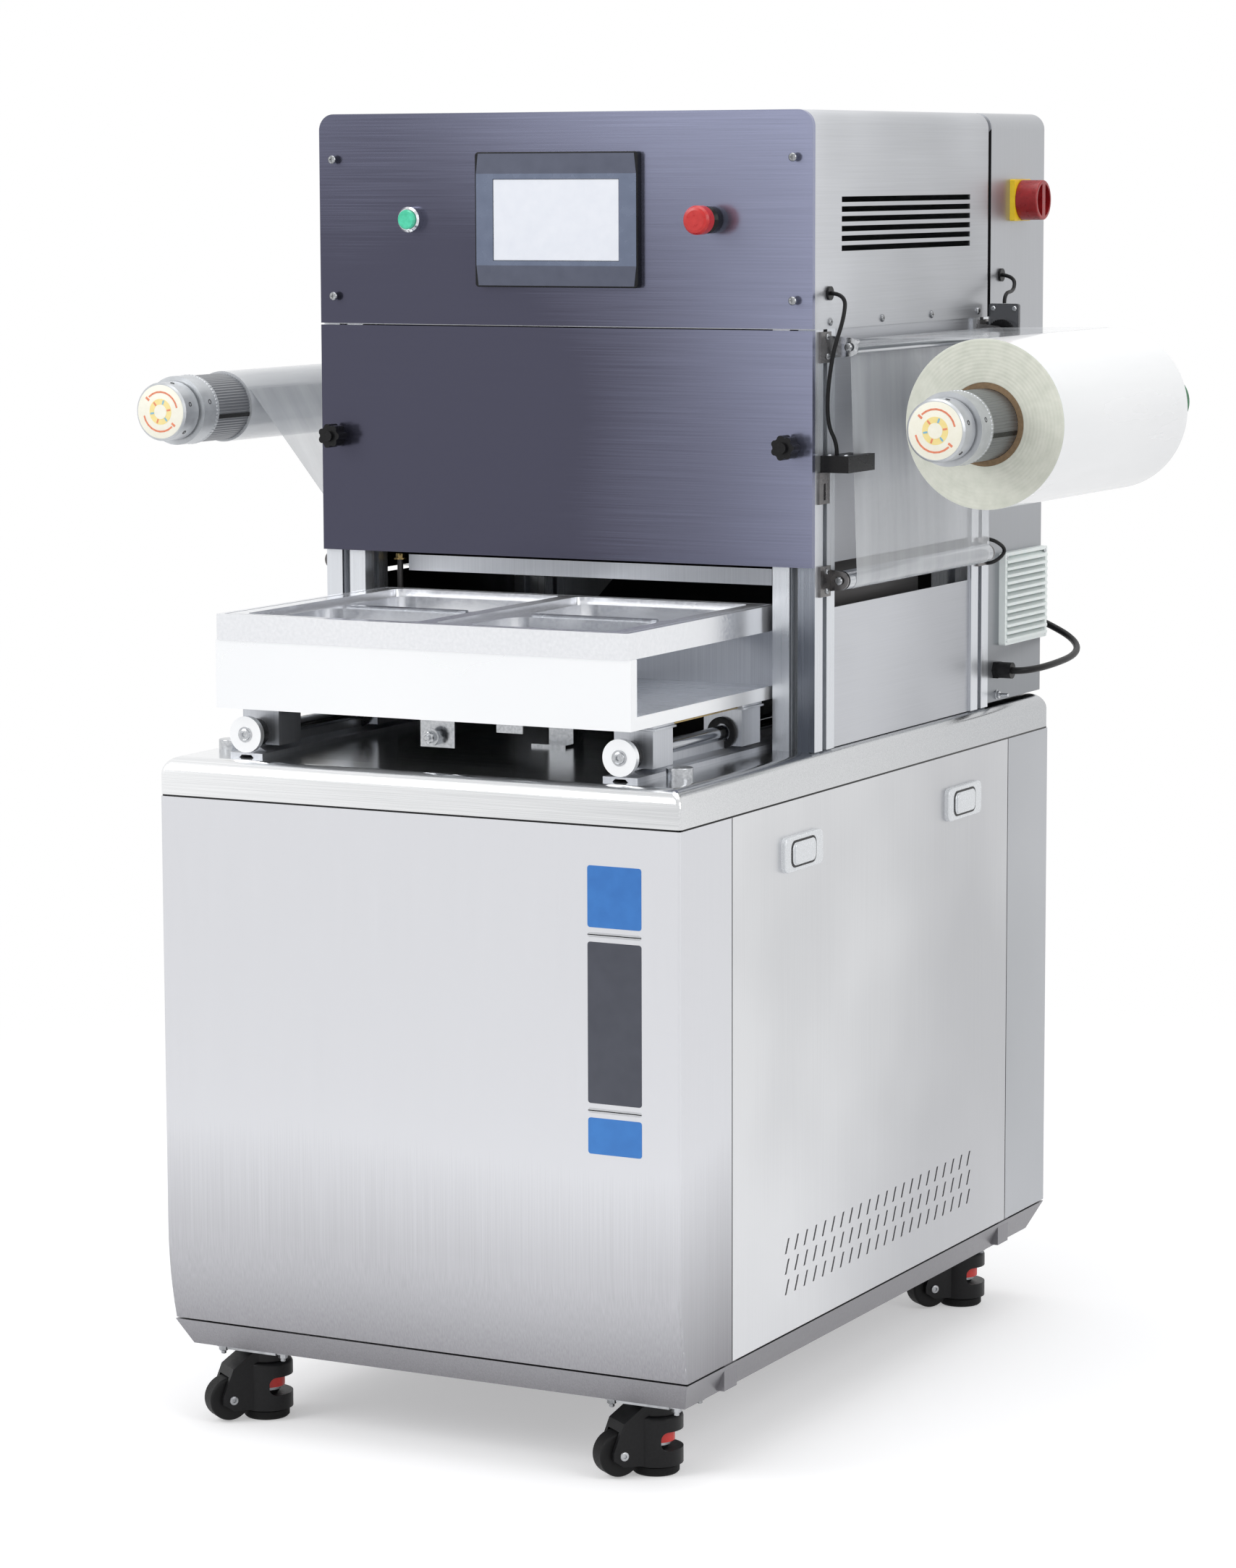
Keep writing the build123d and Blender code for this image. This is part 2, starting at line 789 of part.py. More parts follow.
# Head housing with vent strips in both sides
head_rear_y = post_rear_y - seam
with BuildPart() as head_housing:
    with BuildSketch(facing_front(head_front_y + front_panel_t)):
        with BuildLine():
            add(rounded_outline(head_bottom))
        make_face()
    extrude(amount=-(head_rear_y - head_front_y - front_panel_t))
    rear_top_edge = head_housing.faces().sort_by(Axis.Y)[-1].edges().group_by(Axis.Z)[-1]
    fillet(rear_top_edge, radius=head_rear_round)
    offset(amount=-sheet, openings=head_housing.faces().sort_by(Axis.Y)[0])
    strip_mid_y = yy(vent_strip_front + vent_strip_length / 2)
    for side in (-1, 1):
        for row in range(vent_strip_count):
            strip_z = vent_strip_z + row * vent_strip_pitch
            with Locations((side * head_half, strip_mid_y, strip_z)):
                strip_size = (2 * vent_strip_depth, vent_strip_length, vent_strip_height)
                Box(*strip_size, mode=Mode.SUBTRACT)
save(head_housing.part, "head_housing")

# Rear electrical cabinet
with BuildPart() as rear_cabinet:
    with BuildSketch(facing_front(post_rear_y)):
        with BuildLine():
            add(rounded_outline(table_top_z + rear_cabinet_lift))
        make_face()
    extrude(amount=-rear_cabinet_depth)
    rear_edges = rear_cabinet.faces().sort_by(Axis.Y)[-1].edges().filter_by(Axis.X)
    fillet(rear_edges.sort_by(Axis.Z)[-1], radius=head_rear_round)
    offset(amount=-sheet, openings=rear_cabinet.faces().sort_by(Axis.Z)[0])
save(rear_cabinet.part, "rear_cabinet")

# Side panels between the posts, each with the slot that the film passes through
panel_x = head_half - side_panel_inset - sheet / 2
panel_mid_y = yy((post_gap_front + post_gap_rear) / 2)
panel_length = post_gap_rear - post_gap_front
panel_mid_z = (table_top_z + head_bottom) / 2
slot_mid_z = film_slot_bottom + film_slot_height / 2
slot_length = panel_length - 2 * film_slot_margin
with BuildPart() as side_panels:
    for side in (-1, 1):
        with Locations((side * panel_x, panel_mid_y, panel_mid_z)):
            Box(sheet, panel_length, post_length)
        with Locations((side * panel_x, panel_mid_y, slot_mid_z)):
            Box(2 * sheet, slot_length, film_slot_height, mode=Mode.SUBTRACT)
save(side_panels.part, "side_panels")

# Sealing head: lower plate, heater block and four guides up to the head housing
seal_mid = yy((seal_front_y + seal_rear_y) / 2)
seal_length = seal_rear_y - seal_front_y
with BuildPart() as sealing_head:
    with BuildSketch(Plane.XY.offset(seal_bottom)):
        with Locations((0, seal_mid)):
            Rectangle(seal_width, seal_length)
    extrude(amount=seal_thick)
    with BuildSketch(Plane.XY.offset(seal_bottom + seal_thick)):
        with Locations((0, seal_mid)):
            Rectangle(seal_width - 2 * heater_inset, seal_length - 2 * heater_inset)
    extrude(amount=heater_height)
    with BuildSketch(Plane.XY.offset(seal_bottom + seal_thick)):
        with Locations((0, seal_mid)):
            guide_spread = (seal_width - 2 * guide_inset, seal_length - 2 * guide_inset)
            with GridLocations(*guide_spread, 2, 2):
                Circle(guide_radius)
    extrude(amount=head_bottom - seal_bottom - seal_thick)
save(sealing_head.part, "sealing_head")

# Touch panel with its recessed screen
with BuildPart() as touch_panel:
    with BuildSketch(facing_front(head_front_y)):
        with Locations((0, head_mid_z)):
            RectangleRounded(touch_width, touch_height, touch_round)
    extrude(amount=touch_proud)
    fillet(touch_panel.faces().sort_by(Axis.Y)[0].edges(), radius=touch_edge)
    with BuildSketch(facing_front(head_front_y - touch_proud)):
        with Locations((0, head_mid_z)):
            Rectangle(screen_width, screen_height)
    extrude(amount=-screen_depth, mode=Mode.SUBTRACT)
save(touch_panel.part, "touch_panel")


def turned(plane, points):
    """Solid of revolution about the plane's local Y axis, from half-outline points."""
    with BuildPart() as solid:
        with BuildSketch(plane):
            with BuildLine():
                Polyline(*points, close=True)
            make_face()
        revolve(axis=Axis(plane.origin, plane.y_dir))
    return solid.part


def lathe_front(x, z):
    """Plane for a turned piece on the front panel: local Y points to the front."""
    return Plane(origin=(x, yy(head_front_y), z), x_dir=(1, 0, 0), z_dir=(0, 0, -1))


# Button bodies: chrome bezel of the start button, black collar of the stop button
button_room = button_cap_radius + button_fit
estop_bore = estop_stem_radius + button_fit
start_plane = lathe_front(-button_x, head_mid_z)
stop_plane = lathe_front(button_x, head_mid_z)
with BuildPart() as button_bodies:
    add(turned(start_plane, [
        (0, 0),
        (button_bezel_radius, 0),
        (button_bezel_radius, button_bezel_proud - button_bezel_edge),
        (button_bezel_radius - button_bezel_edge, button_bezel_proud),
        (button_room, button_bezel_proud),
        (button_room, button_floor),
        (0, button_floor),
    ]))
    add(turned(stop_plane, [
        (estop_bore, 0),
        (estop_base_radius, 0),
        (estop_base_radius, estop_base_proud - estop_base_edge),
        (estop_base_radius - estop_base_edge, estop_base_proud),
        (estop_bore, estop_base_proud),
    ]))
save(button_bodies.part, "button_bodies")

cap_back = button_floor + button_travel + button_spare
with BuildPart() as start_button_cap:
    add(turned(start_plane, [
        (0, cap_back),
        (button_cap_radius, cap_back),
        (button_cap_radius, button_cap_proud - button_cap_edge),
        (button_cap_radius - button_cap_edge, button_cap_proud),
        (0, button_cap_proud),
    ]))
save(start_button_cap.part, "start_button_cap")

stem_back = estop_travel + estop_spare
head_back = estop_base_proud + stem_back
with BuildPart() as stop_button_head:
    add(turned(stop_plane, [
        (0, stem_back),
        (estop_stem_radius, stem_back),
        (estop_stem_radius, head_back),
        (estop_radius - estop_edge, head_back),
        (estop_radius, head_back + estop_edge),
        (estop_radius, estop_proud - 2 * estop_edge),
        (estop_radius - estop_edge, estop_proud - estop_edge / 2),
        (estop_radius - estop_crown, estop_proud),
        (0, estop_proud),
    ]))
save(stop_button_head.part, "stop_button_head")

# Star knobs that hold the lower front panel
with BuildPart() as star_knobs:
    for side in (-1, 1):
        with BuildSketch(facing_front(head_front_y - star_neck_length)):
            with Locations((side * star_x, star_z)):
                Circle(star_radius - star_core_inset)
                with PolarLocations(star_radius - star_lobe_inset, star_lobes):
                    Circle(star_lobe_radius)
        extrude(amount=star_proud - star_neck_length - star_nose)
        with BuildSketch(facing_front(head_front_y)):
            with Locations((side * star_x, star_z)):
                Circle(star_neck_radius)
        extrude(amount=star_proud)
save(star_knobs.part, "star_knobs")

# Rotary main switch on the right side of the rear cabinet
right_face = Plane(origin=(head_half, 0, 0), x_dir=(0, 1, 0), z_dir=(1, 0, 0))
with BuildPart() as switch_plate:
    with BuildSketch(right_face):
        with Locations((yy(switch_y), switch_z)):
            RectangleRounded(switch_plate_size, switch_plate_size, switch_plate_round)
            Circle(switch_bore, mode=Mode.SUBTRACT)
    extrude(amount=switch_plate_t)
save(switch_plate.part, "switch_plate")

knob_back = switch_plate_t + switch_gap
with BuildPart() as switch_knob:
    with BuildSketch(right_face.offset(knob_back)):
        with Locations((yy(switch_y), switch_z)):
            Circle(switch_knob_radius)
    extrude(amount=switch_knob_length)
    fillet(switch_knob.faces().sort_by(Axis.X)[-1].edges(), radius=switch_knob_edge)
    with BuildSketch(right_face.offset(knob_back + switch_knob_length)):
        with Locations((yy(switch_y), switch_z)):
            Circle(switch_knob_radius - switch_wall)
            Rectangle(switch_grip, 2 * switch_knob_radius, mode=Mode.SUBTRACT)
    extrude(amount=-switch_hollow, mode=Mode.SUBTRACT)
    with BuildSketch(right_face.offset(switch_pin_inset)):
        with Locations((yy(switch_y), switch_z)):
            Circle(switch_pin_radius)
    extrude(amount=knob_back)
save(switch_knob.part, "switch_knob")

# Louvred air grille: a frame and a row of slanted fins
fin_pitch = (grille_height - 2 * grille_end) / grille_fins
fin_bottom = grille_z - grille_height / 2 + grille_end
fin_plane = Plane(origin=(0, yy(grille_y), 0), x_dir=(1, 0, 0), z_dir=(0, -1, 0))
with BuildPart() as air_grille:
    with BuildSketch(right_face):
        with Locations((yy(grille_y), grille_z)):
            RectangleRounded(grille_width, grille_height, grille_round)
            grille_opening = (grille_width - 2 * grille_side, grille_height - 2 * grille_end)
            Rectangle(*grille_opening, mode=Mode.SUBTRACT)
    extrude(amount=grille_frame_t)
    with BuildSketch(fin_plane):
        for fin in range(grille_fins):
            z0 = fin_bottom + fin * fin_pitch
            with BuildLine():
                Polyline(
                    (head_half, z0 + 0.9 * fin_pitch),
                    (head_half, z0 + 0.55 * fin_pitch),
                    (head_half + grille_t, z0 + 0.02 * fin_pitch),
                    (head_half + grille_t, z0 + 0.4 * fin_pitch),
                    close=True,
                )
            make_face()
    extrude(amount=(grille_width - grille_side) / 2, both=True)
save(air_grille.part, "air_grille")

# Cable glands and grommets
grommet_places = [
    (yy(grommet_front_y), grommet_front_z),
    (yy(grommet_rear_y), grommet_rear_z),
]
rear_face_y = post_rear_y + rear_cabinet_depth
rear_plane = Plane(origin=(0, yy(rear_face_y), 0), x_dir=(-1, 0, 0), z_dir=(0, 1, 0))
with BuildPart() as cable_glands:
    with BuildSketch(right_face):
        with Locations(grommet_places):
            Circle(grommet_radius)
            Circle(cable_radius + cable_fit, mode=Mode.SUBTRACT)
    extrude(amount=grommet_proud)
    with BuildSketch(right_face):
        with Locations((yy(gland_y), gland_z)):
            RegularPolygon(gland_radius + gland_nut_extra, 6)
            Circle(power_cable_radius + cable_fit, mode=Mode.SUBTRACT)
    extrude(amount=gland_nut_length)
    with BuildSketch(right_face.offset(gland_nut_length)):
        with Locations((yy(gland_y), gland_z)):
            Circle(gland_radius)
            Circle(power_cable_radius + cable_fit, mode=Mode.SUBTRACT)
    extrude(amount=gland_length - gland_nut_length)
    with BuildSketch(rear_plane):
        with Locations((-gland_back_x, gland_z + gland_back_rise)):
            Circle(gland_radius)
            Circle(power_cable_radius + cable_fit, mode=Mode.SUBTRACT)
    extrude(amount=gland_back_length)
save(cable_glands.part, "cable_glands")

# Guide rollers of the film and their brackets
rollers = {
    "upper_right": (upper_roller_x, upper_roller_z, upper_roller_radius),
    "lower_right": (lower_roller_x, lower_roller_z, lower_roller_radius),
    "lower_left": (-lower_roller_x, lower_roller_z, lower_roller_radius),
}
lug_rows = ((lug_front_y, -1), (lug_rear_y, 1))
with BuildPart() as roller_brackets:
    for x, z, radius in rollers.values():
        side = 1 if x > 0 else -1
        reach = abs(x) - head_half
        for lug_y, lean in lug_rows:
            lug_plane = Plane(
                origin=(side * head_half, yy(lug_y), z), x_dir=(side, 0, 0), z_dir=(0, -side, 0)
            )
            with BuildSketch(lug_plane):
                with BuildLine():
                    Line((0, -lug_root_half), (reach, -lug_tip_radius))
                    RadiusArc((reach, -lug_tip_radius), (reach, lug_tip_radius), -lug_tip_radius)
                    Line((reach, lug_tip_radius), (0, lug_root_half))
                    Line((0, lug_root_half), (0, -lug_root_half))
                make_face()
                with Locations((reach, 0)):
                    Circle(roller_pin_radius + spin_fit, mode=Mode.SUBTRACT)
            extrude(amount=-side * lug_t)
            lug_mid = lug_y + lug_t / 2
            foot_mid = lug_mid + lean * (lug_base_length + lug_t) / 2
            with Locations((side * (head_half + lug_t / 2), yy(foot_mid), z)):
                Box(lug_t, lug_base_length, lug_base_height)
    # Slotted plate under the edge sensor
    plate_x = head_half + slotted_plate_t / 2
    slotted_z = sensor_z - slotted_plate_height / 2
    with Locations((plate_x, yy(slotted_plate_y), slotted_z)):
        Box(slotted_plate_t, slotted_plate_width, slotted_plate_height)
    with Locations((plate_x, yy(slotted_plate_y), slotted_z - slotted_hole_drop)):
        slotted_hole = (2 * slotted_plate_t, slotted_hole_width, slotted_hole_height)
        Box(*slotted_hole, mode=Mode.SUBTRACT)
save(roller_brackets.part, "roller_brackets")

pin_front = lug_front_y - roller_pin_end
pin_rears = {name: lug_rear_y + lug_t + roller_pin_end for name in rollers}
pin_rears["upper_right"] = encoder_y + encoder_wheel_t
for name, (x, z, radius) in rollers.items():
    with BuildPart() as roller:
        with BuildSketch(facing_front(roller_front_y)):
            with Locations((x, z)):
                Circle(radius)
        extrude(amount=-(roller_rear_y - roller_front_y))
        with BuildSketch(facing_front(pin_front)):
            with Locations((x, z)):
                Circle(roller_pin_radius)
        extrude(amount=-(pin_rears[name] - pin_front))
        if name == "upper_right":
            with BuildSketch(facing_front(encoder_y)):
                with Locations((x, z)):
                    Circle(encoder_wheel_radius)
            extrude(amount=-encoder_wheel_t)
    save(roller.part, "roller_" + name)

# Smoked plate that reads the encoder wheel
encoder_z = upper_roller_z + encoder_plate_rise
encoder_plate_y = encoder_y + encoder_wheel_t + encoder_plate_gap
tie_start = head_half + lug_t
tie_length = upper_roller_x - tie_start
with BuildPart() as encoder_bracket:
    with BuildSketch(facing_front(encoder_plate_y)):
        with Locations((upper_roller_x, encoder_z)):
            RectangleRounded(encoder_plate, encoder_plate, encoder_plate_round)
        with Locations((tie_start + tie_length / 2, upper_roller_z + encoder_tie_rise)):
            Rectangle(tie_length, encoder_tie_height)
    extrude(amount=-encoder_plate_t)
save(encoder_bracket.part, "encoder_bracket")

# Edge sensor: a fork that straddles the film's front edge
sensor_x = head_half + sensor_side_gap
sensor_mid_y = yy(sensor_front_y + sensor_length / 2)
mouth_mid_y = yy(sensor_front_y + sensor_length - sensor_mouth_length / 2)
foot_mid_y = yy(sensor_front_y + sensor_foot_length / 2)
with BuildPart() as edge_sensor:
    with BuildSketch(Plane.XY.offset(sensor_z)):
        with Locations((sensor_x + sensor_width / 2, sensor_mid_y)):
            Rectangle(sensor_width, sensor_length)
        with Locations((head_half + sensor_mouth_out, mouth_mid_y)):
            Rectangle(sensor_mouth, sensor_mouth_length, mode=Mode.SUBTRACT)
        with Locations((head_half + sensor_side_gap / 2, foot_mid_y)):
            Rectangle(sensor_side_gap, sensor_foot_length)
    extrude(amount=sensor_height)
save(edge_sensor.part, "edge_sensor")


def tangent(center_a, radius_a, center_b, radius_b, side):
    """Ends of the line that touches two circles on the same side of travel."""
    dx = center_b[0] - center_a[0]
    dz = center_b[1] - center_a[1]
    span = hypot(dx, dz)
    lean = (radius_a - radius_b) / span
    along = (dx / span, dz / span)
    across = (-along[1] * side, along[0] * side)
    rise = sqrt(1 - lean**2)
    normal = (along[0] * lean + across[0] * rise, along[1] * lean + across[1] * rise)
    return (
        (center_a[0] + radius_a * normal[0], center_a[1] + radius_a * normal[1]),
        (center_b[0] + radius_b * normal[0], center_b[1] + radius_b * normal[1]),
    )


def cross_tangent(center_a, radius_a, center_b, radius_b, side):
    """Ends of the line that touches two circles on opposite sides."""
    return tangent(center_a, radius_a, center_b, -radius_b, side)


def arc_mid(center, radius, start, end):
    """Point halfway along the shorter arc between two points of a circle."""
    mx = (start[0] + end[0]) / 2 - center[0]
    mz = (start[1] + end[1]) / 2 - center[1]
    size = hypot(mx, mz)
    return (center[0] + radius * mx / size, center[1] + radius * mz / size)


# Film web: off the supply roll, over the upper roller, under the lower ones, to the rewind
wrap = film_gap + film_t / 2
supply_center = (shaft_x, shaft_z)
upper_center = (upper_roller_x, upper_roller_z)
low_right = (lower_roller_x, lower_roller_z)
low_left = (-lower_roller_x, lower_roller_z)
rewind_center = (-shaft_x, shaft_z)
supply_wrap = roll_radius + wrap
upper_wrap = upper_roller_radius + wrap
lower_wrap = lower_roller_radius + wrap
rewind_wrap = rewind_radius + wrap
top_a, top_b = tangent(supply_center, supply_wrap, upper_center, upper_wrap, -1)
hang_a, hang_b = cross_tangent(upper_center, upper_wrap, low_right, lower_wrap, -1)
under_right = (lower_roller_x, lower_roller_z - lower_wrap)
under_left = (-lower_roller_x, lower_roller_z - lower_wrap)
rise_a, rise_b = cross_tangent(low_left, lower_wrap, rewind_center, rewind_wrap, 1)
with BuildPart() as film_web:
    with BuildSketch(facing_front(film_front_y)):
        with BuildLine():
            Line(top_a, top_b)
            ThreePointArc(top_b, arc_mid(upper_center, upper_wrap, top_b, hang_a), hang_a)
            Line(hang_a, hang_b)
            ThreePointArc(hang_b, arc_mid(low_right, lower_wrap, hang_b, under_right),
                          under_right)
            Line(under_right, under_left)
            ThreePointArc(under_left, arc_mid(low_left, lower_wrap, under_left, rise_a),
                          rise_a)
            Line(rise_a, rise_b)
        trace(line_width=film_t)
    extrude(amount=-film_width)
save(film_web.part, "film_web")

# Shaft brackets on the rear cabinet
arm_mid_x = (head_half + shaft_x) / 2
flange_x = head_half + bracket_flange_t / 2
flange_size = (bracket_flange_t, bracket_t + bracket_flange_over, bracket_flange_height)
with BuildPart() as shaft_brackets:
    for side in (-1, 1):
        with BuildSketch(facing_front(bracket_y)):
            with Locations((side * shaft_x, shaft_z)):
                Circle(bracket_hub_radius)
            with Locations((side * arm_mid_x, shaft_z)):
                Rectangle(shaft_reach, bracket_arm_height)
            with Locations((side * shaft_x, shaft_z)):
                Circle(journal_radius + spin_fit, mode=Mode.SUBTRACT)
        extrude(amount=-bracket_t)
        with Locations((side * flange_x, yy(bracket_y + bracket_t / 2), shaft_z)):
            Box(*flange_size)
save(shaft_brackets.part, "shaft_brackets")

# Film shafts: front knob, collar, slotted sleeve, journal and rear brake cap
collar_start = knob_length + knob_neck
collar_end = knob_length + collar_length
sleeve_end = sleeve_end_y - shaft_front_y
cap_end = brake_cap_end_y - shaft_front_y
cap_start = cap_end - brake_cap_length
shaft_outline = [
    (0, 0),
    (knob_radius - knob_edge, 0),
    (knob_radius, knob_edge),
    (knob_radius, knob_length),
    (knob_radius - knob_neck, knob_length),
    (knob_radius - knob_neck, collar_start),
    (collar_radius, collar_start),
    (collar_radius, collar_end),
    (sleeve_radius, collar_end),
    (sleeve_radius, sleeve_end),
    (journal_radius, sleeve_end),
    (journal_radius, cap_start),
    (brake_cap_radius, cap_start),
    (brake_cap_radius, cap_end - brake_cap_edge),
    (brake_cap_radius - brake_cap_edge, cap_end),
    (0, cap_end),
]
slot_start = shaft_front_y + collar_end + sleeve_slot_lead
slot_mid_y = yy((slot_start + sleeve_end_y + sleeve_slot_lead) / 2)
slot_size = (2 * sleeve_slot_depth, sleeve_end_y + sleeve_slot_lead - slot_start, sleeve_slot_width)
for name, side in (("supply", 1), ("rewind", -1)):
    lathe = Plane(
        origin=(side * shaft_x, yy(shaft_front_y), shaft_z), x_dir=(1, 0, 0), z_dir=(0, 0, 1)
    )
    with BuildPart() as shaft:
        add(turned(lathe, shaft_outline))
        for turn in range(sleeve_slots):
            angle = radians(90 + 360 * turn / sleeve_slots)
            slot_x = side * shaft_x + sleeve_radius * cos(angle)
            slot_z = shaft_z + sleeve_radius * sin(angle)
            with Locations(Location((slot_x, slot_mid_y, slot_z), (0, -degrees(angle), 0))):
                Box(*slot_size, mode=Mode.SUBTRACT)
    save(shaft.part, name + "_shaft")


def film_tube(side, inner, outer):
    """Tube of film or card round a shaft, as wide as the film."""
    with BuildPart() as tube:
        with BuildSketch(facing_front(film_front_y)):
            with Locations((side * shaft_x, shaft_z)):
                Circle(outer)
                Circle(inner, mode=Mode.SUBTRACT)
        extrude(amount=-film_width)
    return tube.part


with BuildPart() as film_core:
    add(film_tube(1, core_inner, core_radius))
save(film_core.part, "film_core")
with BuildPart() as film_roll:
    add(film_tube(1, core_radius, roll_radius))
save(film_roll.part, "film_roll")
with BuildPart() as rewound_film:
    add(film_tube(-1, sleeve_radius, rewind_radius))
save(rewound_film.part, "rewound_film")

# Rails: supported round shafts with end discs
foot_top = table_top_z + rail_foot_t
shoulder_top = foot_top + rail_shoulder_rise
web_top = rail_axis_z - rail_radius + rail_seat
rail_ends = [(side * rail_x, yy(rail_front_y), rail_axis_z) for side in (-1, 1)]
end_relief = 2 * (rail_disc_t + bumper_length - rail_disc_lead)
with BuildPart() as rail_supports:
    with BuildSketch(facing_front(rail_front_y)):
        for side in (-1, 1):
            mid = side * rail_x
            with Locations((mid, table_top_z + rail_foot_t / 2)):
                Rectangle(rail_foot_width, rail_foot_t)
            with BuildLine():
                Polyline(
                    (mid - rail_shoulder / 2, foot_top),
                    (mid + rail_shoulder / 2, foot_top),
                    (mid + rail_web / 2, shoulder_top),
                    (mid + rail_web / 2, web_top),
                    (mid - rail_web / 2, web_top),
                    (mid - rail_web / 2, shoulder_top),
                    close=True,
                )
            make_face()
            with BuildLine():
                Polyline(
                    (mid - rail_relief_width / 2, table_top_z),
                    (mid + rail_relief_width / 2, table_top_z),
                    (mid + rail_relief_top / 2, table_top_z + rail_relief),
                    (mid - rail_relief_top / 2, table_top_z + rail_relief),
                    close=True,
                )
            make_face(mode=Mode.SUBTRACT)
            with Locations((mid, rail_axis_z)):
                Circle(rail_radius, mode=Mode.SUBTRACT)
    extrude(amount=-(rail_rear_y - rail_front_y))
    with Locations(rail_ends):
        relief_size = (rail_foot_width, end_relief, 2 * (rail_height - rail_foot_t))
        Box(*relief_size, mode=Mode.SUBTRACT)
save(rail_supports.part, "rail_supports")

disc_front_y = rail_front_y - rail_disc_lead
with BuildPart() as rail_shafts:
    for side in (-1, 1):
        with BuildSketch(facing_front(disc_front_y)):
            with Locations((side * rail_x, rail_axis_z)):
                Circle(rail_disc_radius)
        extrude(amount=-rail_disc_t)
        with BuildSketch(facing_front(disc_front_y + rail_disc_t)):
            with Locations((side * rail_x, rail_axis_z)):
                Circle(bumper_radius)
        extrude(amount=-bumper_length)
        with BuildSketch(facing_front(disc_front_y)):
            with Locations((side * rail_x, rail_axis_z)):
                Circle(rail_radius)
        extrude(amount=-(rail_rear_y - disc_front_y))
save(rail_shafts.part, "rail_shafts")

# Bearing blocks under the drawer, open below to pass the rail web, with their spacers
block_top = rail_axis_z + block_above
block_mid_z = rail_axis_z + (block_above - block_below) / 2
with BuildPart() as bearing_blocks:
    for side in (-1, 1):
        for y0 in (block_front_y, block_front_y + block_pitch):
            with BuildSketch(facing_front(y0)):
                with Locations((side * rail_x, block_mid_z)):
                    Rectangle(block_width, block_above + block_below)
                with Locations((side * rail_x, rail_axis_z)):
                    Circle(rail_radius + slide_fit, mode=Mode.SUBTRACT)
                with Locations((side * rail_x, rail_axis_z - block_below)):
                    Rectangle(block_mouth, 2 * block_below, mode=Mode.SUBTRACT)
            extrude(amount=-block_length)
            spacer_mid = (block_top + drawer_base_z) / 2
            with Locations((side * rail_x, yy(y0 + block_length / 2), spacer_mid)):
                Box(block_width, block_length, drawer_base_z - block_top)
save(bearing_blocks.part, "bearing_blocks")

# Drawer: base plate, upright plates and mould
drawer_rear_y = drawer_front_y + drawer_length
mould_mid = yy((drawer_front_y + drawer_rear_y) / 2)
with BuildPart() as drawer_base:
    with Locations((0, mould_mid, drawer_base_z + drawer_plate / 2)):
        Box(2 * drawer_half, drawer_length, drawer_plate)
save(drawer_base.part, "drawer_base")

with BuildPart() as drawer_uprights:
    for y0 in (drawer_front_y + drawer_plate / 2, drawer_rear_y - drawer_plate / 2):
        with Locations((0, yy(y0), (upright_bottom + mould_z) / 2)):
            Box(2 * drawer_half, drawer_plate, mould_z - upright_bottom)
save(drawer_uprights.part, "drawer_uprights")

mould_half = drawer_half - mould_side_inset
mould_length = drawer_length + 2 * mould_overhang
groove_length = mould_length - 2 * groove_inset
groove_outer = mould_half - groove_inset
column_pitch = mould_half - recess_border
recess_width = column_pitch - column_gap
recess_length = mould_length - 2 * (recess_border - 1.0)
recess_z = mould_top - recess_depth
cavity_width = recess_width - 2 * cavity_rim
with BuildPart() as mould_plate:
    with BuildSketch(Plane.XY.offset(mould_z)):
        with Locations((0, mould_mid)):
            RectangleRounded(2 * mould_half, mould_length, mould_round)
    extrude(amount=mould_height)
    # Thin groove along the border
    with BuildSketch(Plane.XY.offset(mould_top)):
        with Locations((0, mould_mid)):
            groove_in = groove_inset + groove_width
            Rectangle(2 * groove_outer, groove_length)
            inner_size = (2 * (mould_half - groove_in), mould_length - 2 * groove_in)
            Rectangle(*inner_size, mode=Mode.SUBTRACT)
    extrude(amount=-groove_depth, mode=Mode.SUBTRACT)
    # One shallow recess for each column of trays
    with BuildSketch(Plane.XY.offset(mould_top)):
        with Locations((0, mould_mid)):
            with GridLocations(column_pitch, 1, 2, 1):
                RectangleRounded(recess_width, recess_length, recess_round)
    extrude(amount=-recess_depth, mode=Mode.SUBTRACT)
    # The tray openings go right through the plate
    with BuildSketch(Plane.XY.offset(mould_top)):
        with Locations((0, mould_mid)):
            with GridLocations(column_pitch, cavity_pitch, 2, 2):
                RectangleRounded(cavity_width, cavity_length, cavity_round)
    extrude(amount=-mould_height, mode=Mode.SUBTRACT)
save(mould_plate.part, "mould_plate")

with BuildPart() as mould_strips:
    with BuildSketch(Plane.XY.offset(recess_z)) as strips:
        with Locations((0, mould_mid)):
            with GridLocations(column_pitch, 1, 2, 1):
                Rectangle(strip_length, strip_width)
        chamfer(strips.vertices(), length=strip_chamfer)
        with Locations((0, mould_mid)):
            with GridLocations(column_pitch, 1, 2, 1):
                with GridLocations(strip_hole_pitch, 1, strip_holes, 1):
                    Circle(strip_hole_radius, mode=Mode.SUBTRACT)
    extrude(amount=strip_height)
save(mould_strips.part, "mould_strips")

